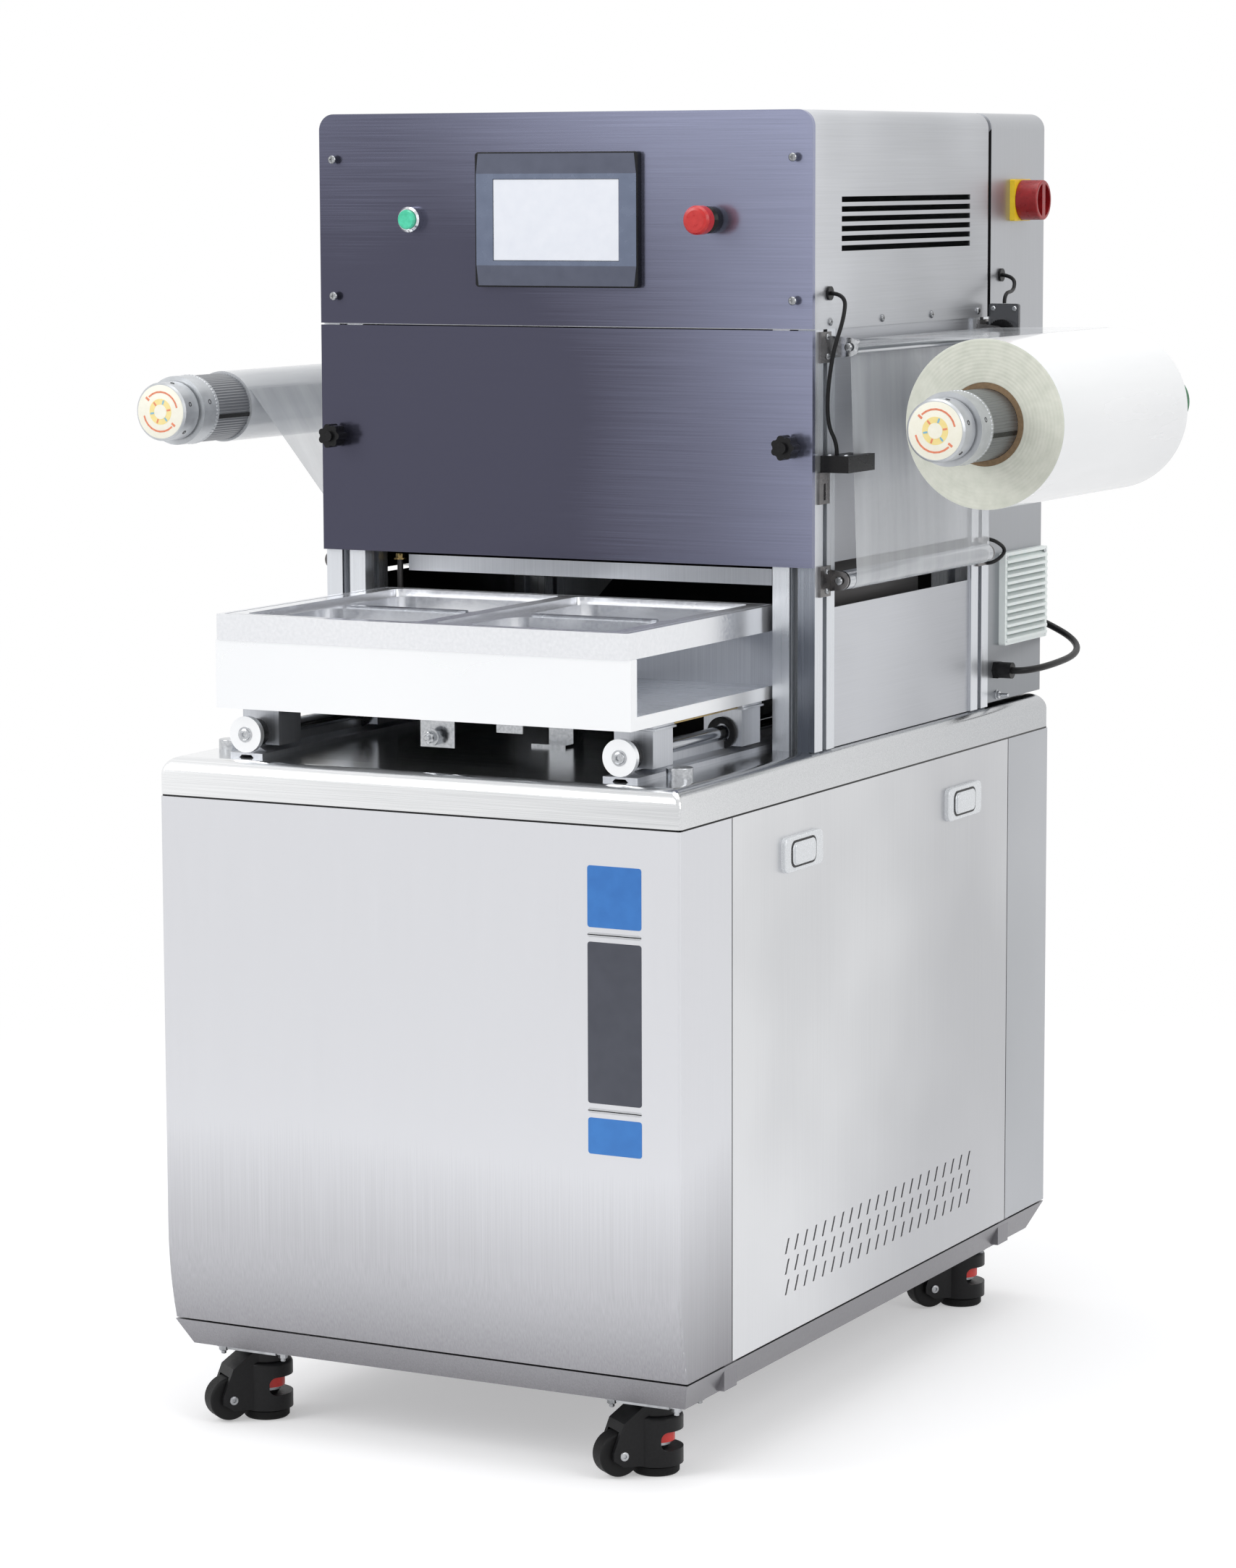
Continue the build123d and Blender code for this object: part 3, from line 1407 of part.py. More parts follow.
# Catch under the drawer and fixed fittings on the table
catch_y = drawer_front_y + catch_inset
catch_bolt = (catch_bolt_x, drawer_base_z - catch_bolt_drop)
tab_y = drawer_front_y + tab_inset
with BuildPart() as drawer_catch:
    with Locations((catch_x, yy(catch_y), drawer_base_z - catch_height / 2)):
        Box(catch_width, catch_t, catch_height)
    with Locations((catch_x, yy(catch_y + catch_foot / 2), drawer_base_z - catch_t / 2)):
        Box(catch_width, catch_foot, catch_t)
    with BuildSketch(facing_front(catch_y)):
        with Locations(catch_bolt):
            RegularPolygon(catch_bolt_radius, 6)
    extrude(amount=catch_bolt_length)
    # Small tab beside the catch
    with Locations((tab_x, yy(tab_y), drawer_base_z - tab_height / 2)):
        Box(tab_width, catch_t, tab_height)
save(drawer_catch.part, "drawer_catch")

stud_x = drawer_half + stud_out
with BuildPart() as table_fittings:
    with BuildSketch(Plane.XY.offset(table_top_z)):
        with Locations((-stud_x, yy(stud_y)), (stud_x, yy(stud_y))):
            Circle(stud_radius)
    extrude(amount=stud_height)
    fillet(table_fittings.faces().sort_by(Axis.Z)[-2:].edges(), radius=1)
    with BuildSketch(Plane.XY.offset(table_top_z)):
        with Locations((stop_x, yy(stop_y))):
            Rectangle(stop_width, stop_depth)
    extrude(amount=stop_height)
    with BuildSketch(Plane.XY.offset(table_top_z)):
        with Locations((stop_x - stop_foot_side, yy(stop_y - stop_foot_lead))):
            Rectangle(stop_foot_width, stop_foot_depth)
    extrude(amount=stop_foot_t)
save(table_fittings.part, "table_fittings")


def cord(points, radius, bend):
    """Round cable along hand-chosen points with rounded bends."""
    with BuildPart() as tube:
        with BuildLine() as route:
            FilletPolyline(*points, radius=bend)
        with BuildSketch(Plane(origin=route.line @ 0, z_dir=route.line % 0)):
            Circle(radius)
        sweep()
    return tube.part


side_x = head_half
sensor_top = sensor_z + sensor_height
sensor_points = [
    (side_x + grommet_proud, yy(grommet_front_y), grommet_front_z),
    (side_x + 20, yy(grommet_front_y), grommet_front_z - 1),
    (side_x + 22, yy(grommet_front_y - 8), grommet_front_z - 25),
    (side_x + 14, yy(grommet_front_y - 18), upper_roller_z - 3),
    (side_x + 8, yy(grommet_front_y - 20), upper_roller_z - 48),
    (side_x + 8, yy(grommet_front_y - 18), sensor_top + 32),
    (side_x + 14, yy(grommet_front_y - 8), sensor_top + 13),
    (side_x + 14, yy(grommet_front_y - 8), sensor_top + film_gap),
]
with BuildPart() as sensor_cable:
    add(cord(sensor_points, cable_radius, cable_bend))
save(sensor_cable.part, "sensor_cable")

encoder_plate_mid = encoder_plate_y + encoder_plate_t / 2
encoder_plate_top = encoder_z + encoder_plate / 2
encoder_points = [
    (side_x + grommet_proud, yy(grommet_rear_y), grommet_rear_z),
    (side_x + 18, yy(grommet_rear_y), grommet_rear_z - 2),
    (side_x + 22, yy(grommet_rear_y - 11), grommet_rear_z - 18),
    (upper_roller_x, yy(encoder_plate_mid), encoder_plate_top + 12),
    (upper_roller_x, yy(encoder_plate_mid), encoder_plate_top + film_gap),
]
with BuildPart() as encoder_cable:
    add(cord(encoder_points, cable_radius, encoder_cable_bend))
save(encoder_cable.part, "encoder_cable")

# Short loop behind the lower roller
loop_y = lug_rear_y + lug_t + lug_base_length + 3
loop_points = [
    (side_x + film_gap, yy(loop_y), lower_roller_z + 13),
    (side_x + 10, yy(loop_y), lower_roller_z + 13),
    (side_x + 14, yy(loop_y + 32), lower_roller_z - 2),
    (side_x + 10, yy(loop_y), lower_roller_z - 15),
    (side_x + film_gap, yy(loop_y), lower_roller_z - 15),
]
with BuildPart() as loop_cable:
    add(cord(loop_points, cable_radius, encoder_cable_bend))
save(loop_cable.part, "loop_cable")

cable_clear = 40
power_points = [
    (side_x + gland_length, yy(gland_y), gland_z),
    (side_x + gland_length + 28, yy(gland_y), gland_z),
    (side_x + gland_length + 26, yy(rear_face_y + cable_clear), gland_z + 10),
    (gland_back_x, yy(rear_face_y + cable_clear + 8), gland_z + gland_back_rise),
    (gland_back_x, yy(rear_face_y + gland_back_length), gland_z + gland_back_rise),
]
with BuildPart() as power_cable:
    add(cord(power_points, power_cable_radius, power_cable_bend))
save(power_cable.part, "power_cable")
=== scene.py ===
"""Looks of the tray sealing machine: materials, small fittings, film, cords, light and camera."""
import math

import bmesh
import bpy
from mathutils import Matrix, Vector


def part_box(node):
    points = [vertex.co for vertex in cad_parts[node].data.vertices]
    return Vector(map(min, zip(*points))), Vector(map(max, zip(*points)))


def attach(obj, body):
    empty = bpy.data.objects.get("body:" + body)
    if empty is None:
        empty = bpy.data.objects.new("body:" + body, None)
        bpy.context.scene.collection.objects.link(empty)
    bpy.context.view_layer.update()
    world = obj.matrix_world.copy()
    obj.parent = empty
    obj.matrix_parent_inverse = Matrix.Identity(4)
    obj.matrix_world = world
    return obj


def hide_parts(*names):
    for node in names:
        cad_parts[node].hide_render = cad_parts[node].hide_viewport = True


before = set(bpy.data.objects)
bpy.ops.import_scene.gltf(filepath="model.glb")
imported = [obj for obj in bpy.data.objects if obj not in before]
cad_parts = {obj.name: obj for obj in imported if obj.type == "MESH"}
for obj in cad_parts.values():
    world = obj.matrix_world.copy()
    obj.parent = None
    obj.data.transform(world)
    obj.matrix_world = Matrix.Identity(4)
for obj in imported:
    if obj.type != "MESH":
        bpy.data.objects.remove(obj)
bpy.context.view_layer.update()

# Places, in layout mm: x from the centre line, y from the table's front edge, z from the floor

ORIGIN_X, ORIGIN_Y = 25, 489  # where the frame's origin lies in the layout
RIGHT, BACK, UP = Vector((1, 0, 0)), Vector((0, 1, 0)), Vector((0, 0, 1))
CORNERS = ("front_left", "front_right", "rear_left", "rear_right")
CASTER_X, CASTER_YS = 240, (84, 892)
PANEL_FRONT = 324
HEAD_SIDE = 303.5
BRACKET_SIDE, BRACKET_Y = 306.3, 361
RAIL_X, RAIL_Z = 225, 760
SHAFT_X, SHAFT_Z = 475, 1088
UPPER_ROLLER, LOWER_ROLLER = (327.5, 1168), (317, 918)
ROLLER_PIN_ENDS = ((369.5, -1), (773.5, 1))
FILM_FRONT, FILM_REAR = 391.5, 757.5


def P(x, y, z):
    """A layout point in metres of the frame."""
    return Vector(((x - ORIGIN_X) / 1000, (y - ORIGIN_Y) / 1000, z / 1000))


def right_side(node):
    """The layout x of a CAD node's right side."""
    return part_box(node)[1].x * 1000 + ORIGIN_X


def outward(degrees):
    """The direction at an angle about a shaft that runs front to back."""
    a = math.radians(degrees)
    return Vector((math.cos(a), 0, math.sin(a)))


# Materials


def lin(r, g, b):
    """A colour written as it shows, 0 to 255, as the linear numbers a shader takes."""
    return tuple(
        c / 255 / 12.92 if c < 10.31 else ((c / 255 + 0.055) / 1.055) ** 2.4 for c in (r, g, b)
    ) + (1.0,)


def add_node(tree, kind, values=None, **settings):
    """A new shader node with its own settings and the values of its inputs."""
    made = tree.nodes.new(kind)
    for name, value in settings.items():
        setattr(made, name, value)
    for socket, value in (values or {}).items():
        made.inputs[socket].default_value = value
    return made


NOISE_LOW, NOISE_HIGH = 0.3, 0.7  # the span of a noise that the colours and the roughness follow


def surface(name, dark, light, metallic=0.0, rough=(0.35, 0.45), grain=(1, 1, 1), scale=40.0,
            height=0.0002, bump=0.04, cloud=2.5, cloud_part=0.5, painted_shading=None, **sockets):
    """A material whose colour follows a fine noise along a grain, a wide one and a painted slope of light and
    shade over the machine.

    Its roughness and relief follow the fine noise alone. The slope along x, y and z with an offset is painted
    light and shade: it makes the colour lighter or darker across the machine.
    """
    material = bpy.data.materials.new(name)
    material.use_nodes = True
    tree = material.node_tree
    tree.nodes.clear()
    join = tree.links.new
    output = add_node(tree, "ShaderNodeOutputMaterial")
    shader = add_node(tree, "ShaderNodeBsdfPrincipled", {"Metallic": metallic})
    place = add_node(tree, "ShaderNodeTexCoord")
    stretch = add_node(tree, "ShaderNodeMapping", {"Scale": grain})
    join(place.outputs["Object"], stretch.inputs["Vector"])
    fine = add_node(tree, "ShaderNodeTexNoise", {"Scale": scale, "Detail": 4})
    join(stretch.outputs["Vector"], fine.inputs["Vector"])
    wide = add_node(tree, "ShaderNodeTexNoise", {"Scale": cloud})
    join(place.outputs["Object"], wide.inputs["Vector"])
    both = add_node(tree, "ShaderNodeMix", {"Factor": cloud_part})
    join(fine.outputs["Fac"], both.inputs["A"])
    join(wide.outputs["Fac"], both.inputs["B"])
    tone = both.outputs["Result"]
    # Painted light and shade: a slope across the machine that lightens or darkens the colour, standing in for
    # how light and reflections fall
    if painted_shading:
        slope, offset = painted_shading
        along = add_node(tree, "ShaderNodeVectorMath", {1: slope}, operation="DOT_PRODUCT")
        join(place.outputs["Object"], along.inputs[0])
        moved = add_node(tree, "ShaderNodeMath", {1: offset}, operation="ADD")
        join(along.outputs["Value"], moved.inputs[0])
        total = add_node(tree, "ShaderNodeMath", operation="ADD")
        join(tone, total.inputs[0])
        join(moved.outputs["Value"], total.inputs[1])
        tone = total.outputs["Value"]
    ramp = add_node(tree, "ShaderNodeValToRGB")
    for k, (position, colour) in enumerate(((NOISE_LOW, dark), (NOISE_HIGH, light))):
        ramp.color_ramp.elements[k].position = position
        ramp.color_ramp.elements[k].color = lin(*colour)
    join(tone, ramp.inputs["Fac"])
    join(ramp.outputs["Color"], shader.inputs["Base Color"])
    shine = add_node(tree, "ShaderNodeMapRange", {
        "From Min": NOISE_LOW, "From Max": NOISE_HIGH, "To Min": rough[0], "To Max": rough[1]})
    join(fine.outputs["Fac"], shine.inputs["Value"])
    join(shine.outputs["Result"], shader.inputs["Roughness"])
    relief = add_node(tree, "ShaderNodeBump", {"Strength": bump, "Distance": height})
    join(fine.outputs["Fac"], relief.inputs["Height"])
    join(relief.outputs["Normal"], shader.inputs["Normal"])
    for socket, value in sockets.items():
        shader.inputs[socket.replace("_", " ")].default_value = value
    join(shader.outputs["BSDF"], output.inputs["Surface"])
    return material


VERTICAL, SIDEWAYS, ACROSS_Y, SMOOTH = (900, 900, 6), (6, 900, 900), (900, 6, 900), (1, 1, 1)
BRUSH = dict(scale=1.0, bump=0.14, cloud_part=0.6)
SOFT_BRUSH = dict(scale=1.0, bump=0.1, cloud_part=0.8)
WIDE_BRUSH = dict(scale=1.0, bump=0.1, cloud=0.5, cloud_part=0.85)
SATIN = (0.3, 0.4)
DULL = dict(Specular_IOR_Level=0.22)
# Painted shade: the base's steel darkens towards the floor, standing in for the shadowed floor it reflects
brushed = surface("brushed_panel", (132, 131, 135), (214, 215, 219), 0.85, SATIN, VERTICAL, **WIDE_BRUSH,
                  painted_shading=((-0.1, -0.05, 1.7), -0.46))
# Painted light: the doors are lighter towards the front and the top and darker towards the rear
door_steel = surface("brushed_door", (186, 187, 190), (218, 219, 221), 0.85, SATIN, VERTICAL, **SOFT_BRUSH,
                     painted_shading=((0, -0.5, 0.25), -0.1))
# Painted light: a lighter copy of the base's brushed steel for the sideways rear returns, for the light those
# faces catch
return_steel_painted_light = surface("brushed_return_painted_light", (164, 167, 171), (184, 186, 190), 0.85, SATIN, VERTICAL,
                       **SOFT_BRUSH)
# Painted shade: the rear cabinet darkens towards the bottom
rear_steel = surface("brushed_rear", (118, 122, 127), (176, 178, 182), 0.85, SATIN, VERTICAL, **WIDE_BRUSH,
                     painted_shading=((0, 0, 0.7), -0.6))
# Painted light: the side panels are lighter towards the front
brushed_low = surface("brushed_side_panel", (160, 162, 167), (200, 202, 207), 0.85, SATIN, ACROSS_Y,
                      **SOFT_BRUSH, painted_shading=((0, -0.5, 0), 0.05))
# Painted light and shade: the head is lighter towards the front and the top
head_steel = surface("brushed_head", (156, 158, 162), (206, 208, 212), 0.85, SATIN, ACROSS_Y, **SOFT_BRUSH,
                     painted_shading=((0, -0.8, 0.3), -0.32))
# Painted reflection: the table is lighter towards the left and the front
table_steel = surface("polished_table", (170, 172, 175), (244, 245, 246), 1.0, (0.14, 0.22), SIDEWAYS,
                      scale=1.0, bump=0.1, cloud=0.5, cloud_part=0.75, painted_shading=((-0.3, -0.165, 0), 0.03))
# Painted reflection: the dark panels' colour is lighter towards the right and the top
panel = surface("dark_panel", (76, 76, 92), (148, 152, 177), 0.75, (0.16, 0.22), SIDEWAYS, scale=1.0,
                bump=0.04, cloud=1.2, cloud_part=0.85, painted_shading=((0.7, 0, 0.45), -0.56),
                Specular_IOR_Level=0.3)
anodised = surface("anodised", (176, 179, 186), (206, 209, 214), 0.85, (0.28, 0.38), VERTICAL, **BRUSH)
post_metal = surface("post_anodised", (200, 203, 209), (224, 227, 231), 0.85, (0.25, 0.36), VERTICAL,
                     **SOFT_BRUSH)
# Painted shade: a darker copy of the post metal for the right post's front flat, with a painted slope along the
# height
post_painted_shade = surface("post_anodised_painted_shade", (104, 109, 119), (176, 181, 190), 0.85, (0.25, 0.36), VERTICAL,
                     **SOFT_BRUSH, painted_shading=((0, 0, 1.1), -1.06))
# Painted shade: a darker copy of the post metal for the faces in the posts' slots
post_slot_painted_shade = surface("post_slot_painted_shade", (96, 101, 108), (120, 125, 132), 0.85, SATIN, VERTICAL, **SOFT_BRUSH)
drawer_metal = surface("drawer_anodised", (244, 246, 249), (250, 251, 252), 0.7, (0.26, 0.32), SMOOTH, 3,
                       bump=0.0)
# Painted shade: a darker copy of the drawer's metal for the base plate's upward faces, which lie in shade under
# the mould
drawer_shelf_painted_shade = surface("drawer_shelf_painted_shade", (120, 125, 136), (168, 173, 182), 0.85, (0.24, 0.32), SIDEWAYS,
                       **SOFT_BRUSH)
knob_alu = surface("knob_aluminium", (176, 179, 183), (200, 203, 206), 0.7, (0.32, 0.4), SMOOTH, 90, bump=0.0)
sleeve = surface("sleeve_steel", (104, 106, 110), (150, 152, 156), 0.85, (0.28, 0.4), ACROSS_Y, **SOFT_BRUSH)
mould = surface("mould_metal", (226, 228, 232), (240, 241, 244), 0.85, (0.18, 0.26), SMOOTH, 260, bump=0.02)
zinc = surface("zinc", (120, 122, 125), (196, 198, 201), 0.9, (0.25, 0.45), SMOOTH, 120, cloud=30, bump=0.1)
black = surface("caster_black", (12, 12, 13), (26, 26, 28), 0.0, (0.34, 0.46), SMOOTH, 320, bump=0.12, **DULL)
rubber = surface("pad_black", (12, 12, 12), (22, 22, 23), 0.0, (0.6, 0.8), SMOOTH, 500, bump=0.3, **DULL)
wheel = surface("wheel_black", (12, 12, 13), (24, 24, 25), 0.0, (0.5, 0.65), SMOOTH, 400, bump=0.2, **DULL)
red_ring = surface("ring_red", (196, 34, 30), (224, 58, 50), 0.0, (0.35, 0.5), SMOOTH, 240)
latch = surface("latch_grey", (216, 219, 222), (230, 233, 236), 0.2, (0.2, 0.3), SMOOTH, 300)
touch = surface("touch_black", (8, 9, 12), (16, 17, 21), 0.0, (0.25, 0.35), SMOOTH, 300, **DULL)
band = surface("touch_band", (70, 75, 92), (80, 85, 103), 0.1, SATIN, SMOOTH, 60)
bezel = surface("touch_bezel", (94, 104, 126), (106, 116, 138), 0.1, (0.22, 0.3), SMOOTH, 60)
screen = surface("touch_screen", (226, 230, 239), (236, 239, 246), 0.0, (0.12, 0.2), SMOOTH, 60)
chrome = surface("button_metal", (200, 203, 208), (226, 228, 232), 1.0, (0.08, 0.16), SMOOTH, 200)
green = surface("button_green", (30, 176, 132), (84, 226, 186), 0.0, (0.15, 0.25), SMOOTH, 160, Coat_Weight=0.5)
red = surface("stop_red", (178, 24, 26), (206, 48, 46), 0.0, (0.26, 0.38), SMOOTH, 200)
yellow = surface("switch_yellow", (232, 192, 20), (246, 212, 44), 0.0, (0.3, 0.42), SMOOTH, 200)
dark_red = surface("switch_red", (118, 14, 20), (160, 30, 34), 0.0, (0.25, 0.38), SMOOTH, 200)
plastic = surface("grille_plastic", (232, 240, 238), (242, 247, 246), 0.0, (0.35, 0.48), SMOOTH, 200, bump=0.0)
cable = surface("cable_black", (10, 10, 11), (22, 22, 24), 0.0, (0.34, 0.46), SMOOTH, 600, bump=0.1, **DULL)
bright = surface("bright_steel", (150, 153, 157), (206, 208, 211), 1.0, (0.14, 0.26), SMOOTH, 300)
bracket = surface("bracket_steel", (84, 82, 82), (132, 130, 130), 0.95, (0.18, 0.32), SMOOTH, 60, bump=0.02)
smoked = surface("smoked_plastic", (30, 32, 38), (52, 56, 64), 0.0, (0.1, 0.18), SMOOTH, 120, Alpha=0.7)
slate = surface("label_slate", (60, 63, 74), (70, 73, 84), 0.0, SATIN, SMOOTH, 60)
shaft_metal = surface("shaft_metal", (160, 163, 167), (204, 207, 211), 0.85, (0.22, 0.36), ACROSS_Y, **BRUSH)
rail_metal = surface("rail_metal", (150, 153, 158), (206, 209, 213), 1.0, (0.08, 0.16), ACROSS_Y, **BRUSH)
roll = surface("roll_film", (234, 236, 237), (244, 245, 246), 0.0, (0.2, 0.3), (6, 1, 6), 3, bump=0.0,
               Coat_Weight=0.4)
rewound = surface("rewound_film", (168, 171, 176), (218, 221, 224), 0.2, (0.16, 0.26), (30, 2, 30), 1.0,
                  bump=0.2, height=0.001, Coat_Weight=0.4)
inner_steel = surface("inner_steel", (74, 72, 72), (94, 92, 92), 0.5, (0.4, 0.5), ACROSS_Y, **SOFT_BRUSH)
screw_steel = surface("screw_steel", (112, 114, 117), (172, 174, 177), 1.0, (0.16, 0.28), SMOOTH, 300)
strip_metal = surface("strip_metal", (160, 163, 169), (182, 185, 190), 0.85, (0.2, 0.28), SMOOTH, 100, bump=0.0)
roll_end = surface("roll_end", (202, 206, 192), (230, 231, 219), 0.0, (0.4, 0.55), SMOOTH, 90, bump=0.0)
film = surface("clear_film", (182, 186, 191), (230, 233, 236), 0.0, (0.1, 0.26), (1, 5, 0.6), 7,
               height=0.004, bump=0.3, Alpha=0.56, Coat_Weight=0.4)
card = surface("card", (104, 84, 62), (146, 122, 92), 0.0, (0.7, 0.85), SMOOTH, 300, bump=0.3)
cream = surface("label_cream", (240, 237, 220), (248, 246, 232), 0.0, (0.4, 0.5), SMOOTH, 200)
amber = surface("label_yellow", (240, 218, 140), (247, 228, 160), 0.0, (0.4, 0.5), SMOOTH, 200)
arc_red = surface("label_red", (224, 128, 96), (234, 146, 112), 0.0, (0.4, 0.5), SMOOTH, 200)
arc_blue = surface("label_pale_blue", (118, 176, 206), (140, 192, 218), 0.0, (0.4, 0.5), SMOOTH, 200)
blue = surface("label_blue", (44, 110, 186), (58, 128, 204), 0.0, SATIN, SMOOTH, 60)
grey_print = surface("label_grey", (184, 186, 190), (200, 202, 205), 0.0, SATIN, SMOOTH, 160)
seal = surface("seal_black", (10, 10, 11), (22, 22, 24), 0.0, (0.26, 0.38), SMOOTH, 400, **DULL)
brass = surface("brass", (150, 128, 84), (196, 172, 116), 0.9, (0.25, 0.4), SMOOTH, 200)
green_cap = surface("cap_green", (16, 92, 54), (34, 122, 76), 0.0, (0.35, 0.45), SMOOTH, 200)
# Painted shade: a near-black finish for faces in the machine's shaded interior, not a colour of the parts
painted_shade_inside = surface("inner_painted_shade", (12, 12, 14), (26, 26, 29), 0.3, (0.35, 0.5), SMOOTH, 40, **DULL)

# The CAD nodes' materials

dress = {
    brushed: ("base_frame", "base_panels"),
    door_steel: ("side_doors",),
    rear_steel: ("rear_cabinet",),
    post_metal: ("corner_posts",),
    brushed_low: ("side_panels",),
    head_steel: ("head_housing",),
    table_steel: ("table_top",),
    panel: ("upper_front_panel", "lower_front_panel"),
    anodised: ("sealing_head", "rail_supports", "bearing_blocks"),
    drawer_metal: ("drawer_base", "drawer_uprights"),
    mould: ("mould_plate",),
    strip_metal: ("mould_strips",),
    zinc: ("caster_plates",),
    rubber: ("caster_pads",),
    black: tuple("caster_housing_" + c for c in CORNERS),
    wheel: tuple("caster_wheel_" + c for c in CORNERS),
    latch: ("door_latches",),
    touch: ("touch_panel",),
    chrome: ("button_bodies",),
    green: ("start_button_cap",),
    red: ("stop_button_head",),
    seal: ("star_knobs", "cable_glands", "edge_sensor"),
    yellow: ("switch_plate",),
    dark_red: ("switch_knob",),
    plastic: ("air_grille",),
    bright: ("drawer_catch", "table_fittings"),
    bracket: ("roller_brackets",),
    shaft_metal: ("shaft_brackets", "supply_shaft", "rewind_shaft"),
    smoked: ("encoder_bracket",),
    rail_metal: ("rail_shafts", "roller_upper_right", "roller_lower_right", "roller_lower_left"),
    roll: ("film_roll",),
    rewound: ("rewound_film",),
    card: ("film_core",),
}
for material, names in dress.items():
    for name in names:
        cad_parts[name].data.materials.clear()
        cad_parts[name].data.materials.append(material)


def repaint(node, material, test):
    """Gives another material to the faces of a CAD node whose centre (layout mm) and normal pass the test."""
    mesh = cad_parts[node].data
    mesh.materials.append(material)
    slot = len(mesh.materials) - 1
    for face in mesh.polygons:
        c = face.center
        if test(c.x * 1000 + ORIGIN_X, c.y * 1000 + ORIGIN_Y, c.z * 1000, *face.normal):
            face.material_index = slot


FACING = 0.5        # a normal's part along an axis from which a face counts as facing that way
PAD_TOP = 30.5
RING_LOW, RING_HIGH = 34.5, 48.5
STEM_RADIUS = 10
BUMPER_FRONT, BUMPER_REAR = 41.2, 58.5
BRAKE_CAP_FRONT = 888
SLEEVE_FRONT = 323.9
REAR_WRAP_FRONT = 856
POST_X, POST_FRONT, POST_SLOT_HALF = 276, 337, 7.5


def on_ring(x, y, z):
    """Whether a point of the caster pads is on a red ring and not on the stem in it."""
    from_stem = min(math.hypot(abs(x) - CASTER_X, y - cy) for cy in CASTER_YS)
    return RING_LOW < z < RING_HIGH and from_stem > STEM_RADIUS


repaint("caster_pads", red_ring, lambda x, y, z, *n: on_ring(x, y, z))
repaint("caster_pads", zinc, lambda x, y, z, *n: z > PAD_TOP and not on_ring(x, y, z))
repaint("rail_shafts", seal, lambda x, y, z, *n: BUMPER_FRONT < y < BUMPER_REAR)
repaint("rail_shafts", drawer_metal, lambda x, y, z, *n: y <= BUMPER_FRONT)
repaint("button_bodies", seal, lambda x, y, z, *n: x > 0)
for name in ("supply_shaft", "rewind_shaft"):
    repaint(name, green_cap, lambda x, y, z, *n: y > BRAKE_CAP_FRONT)
    repaint(name, knob_alu, lambda x, y, z, *n: y < SLEEVE_FRONT)
# Painted light on the base's sideways rear returns
repaint("base_panels", return_steel_painted_light, lambda x, y, z, *n: y > REAR_WRAP_FRONT and abs(n[0]) > 0.9)
# Painted shade: the rear cabinet's front faces in the gap under the head are made dark
repaint("rear_cabinet", painted_shade_inside, lambda x, y, z, *n: y < 815 and n[1] < -FACING and z < 1180)
# Painted shade in the posts' slots
repaint("corner_posts", post_slot_painted_shade,
        lambda x, y, z, *n: abs(abs(x) - POST_X) < POST_SLOT_HALF and POST_FRONT + 0.2 < y < POST_FRONT + 8)
# Painted shade on the right post's front flat
repaint("corner_posts", post_painted_shade,
        lambda x, y, z, *n: x > POST_X + 5 and y < POST_FRONT + 0.5 and n[1] < -FACING)
# Painted shade on the drawer base's upward faces
repaint("drawer_base", drawer_shelf_painted_shade, lambda x, y, z, *n: n[2] > 0.9)
repaint("drawer_uprights", anodised, lambda x, y, z, *n: y > 45 and n[1] < -FACING)
# Painted shade: the inner faces of the side panels and the head, the head's downward faces and the front
# panels' back faces are made dark
repaint("side_panels", painted_shade_inside, lambda x, y, z, *n: n[0] * x < -FACING * abs(x))
repaint("head_housing", painted_shade_inside, lambda x, y, z, *n: n[0] * x < -FACING * abs(x) or n[2] < -FACING)
repaint("roller_brackets", bright, lambda x, y, z, *n: z > 1140 and x > 309 and abs(y - 371) < 4)
for name in ("lower_front_panel", "upper_front_panel"):
    repaint(name, painted_shade_inside, lambda x, y, z, *n: n[1] > FACING)
# Painted shade: the upper and rear parts of the sealing head, in the shade under the head, are made dark
repaint("sealing_head", painted_shade_inside, lambda x, y, z, *n: z > 927 or y > 396)

# Mesh helpers


def skin(bm, loops, mat, ends=(False, True)):
    """Faces between loops of points, and caps at the ends asked for."""
    made = []
    for low, high in zip(loops, loops[1:]):
        for i in range(len(low)):
            j = (i + 1) % len(low)
            made.append(bm.faces.new((low[i], low[j], high[j], high[i])))
    if ends[0]:
        made.append(bm.faces.new(loops[0][::-1]))
    if ends[1]:
        made.append(bm.faces.new(loops[-1]))
    for face in made:
        face.material_index = mat


def turned(bm, at, axis, rings, segments=40, mat=0, ends=(False, True)):
    """A turned form: rings of (radius, height) in mm about an axis; a radius may be a function of the angle."""
    turn = Vector(axis).to_track_quat("Z", "Y")
    loops = []
    for radius, rise in rings:
        loop = []
        for i in range(segments):
            a = math.tau * i / segments
            r = radius(a) if callable(radius) else radius
            spot = turn @ Vector((r * math.cos(a), r * math.sin(a), rise))
            loop.append(bm.verts.new(at + spot / 1000))
        loops.append(loop)
    skin(bm, loops, mat, ends)


def slab(bm, at, across, up, size, radius, thick, edge=0.4, mat=0, sides=5):
    """A rounded rectangle that stands out from a surface, with a broken edge."""
    out = across.cross(up)
    loops = []
    for inset, rise in ((0, 0), (0, thick - edge), (edge, thick)):
        w, h, r = size[0] / 2 - inset, size[1] / 2 - inset, max(radius - inset, 0.05)
        loop = []
        for cx, cy, start in ((w - r, h - r, 0), (r - w, h - r, 1), (r - w, r - h, 2), (w - r, r - h, 3)):
            for i in range(sides + 1):
                a = (start + i / sides) * math.pi / 2
                spot = across * (cx + r * math.cos(a)) + up * (cy + r * math.sin(a)) + out * rise
                loop.append(bm.verts.new(at + spot / 1000))
        loops.append(loop)
    skin(bm, loops, mat)


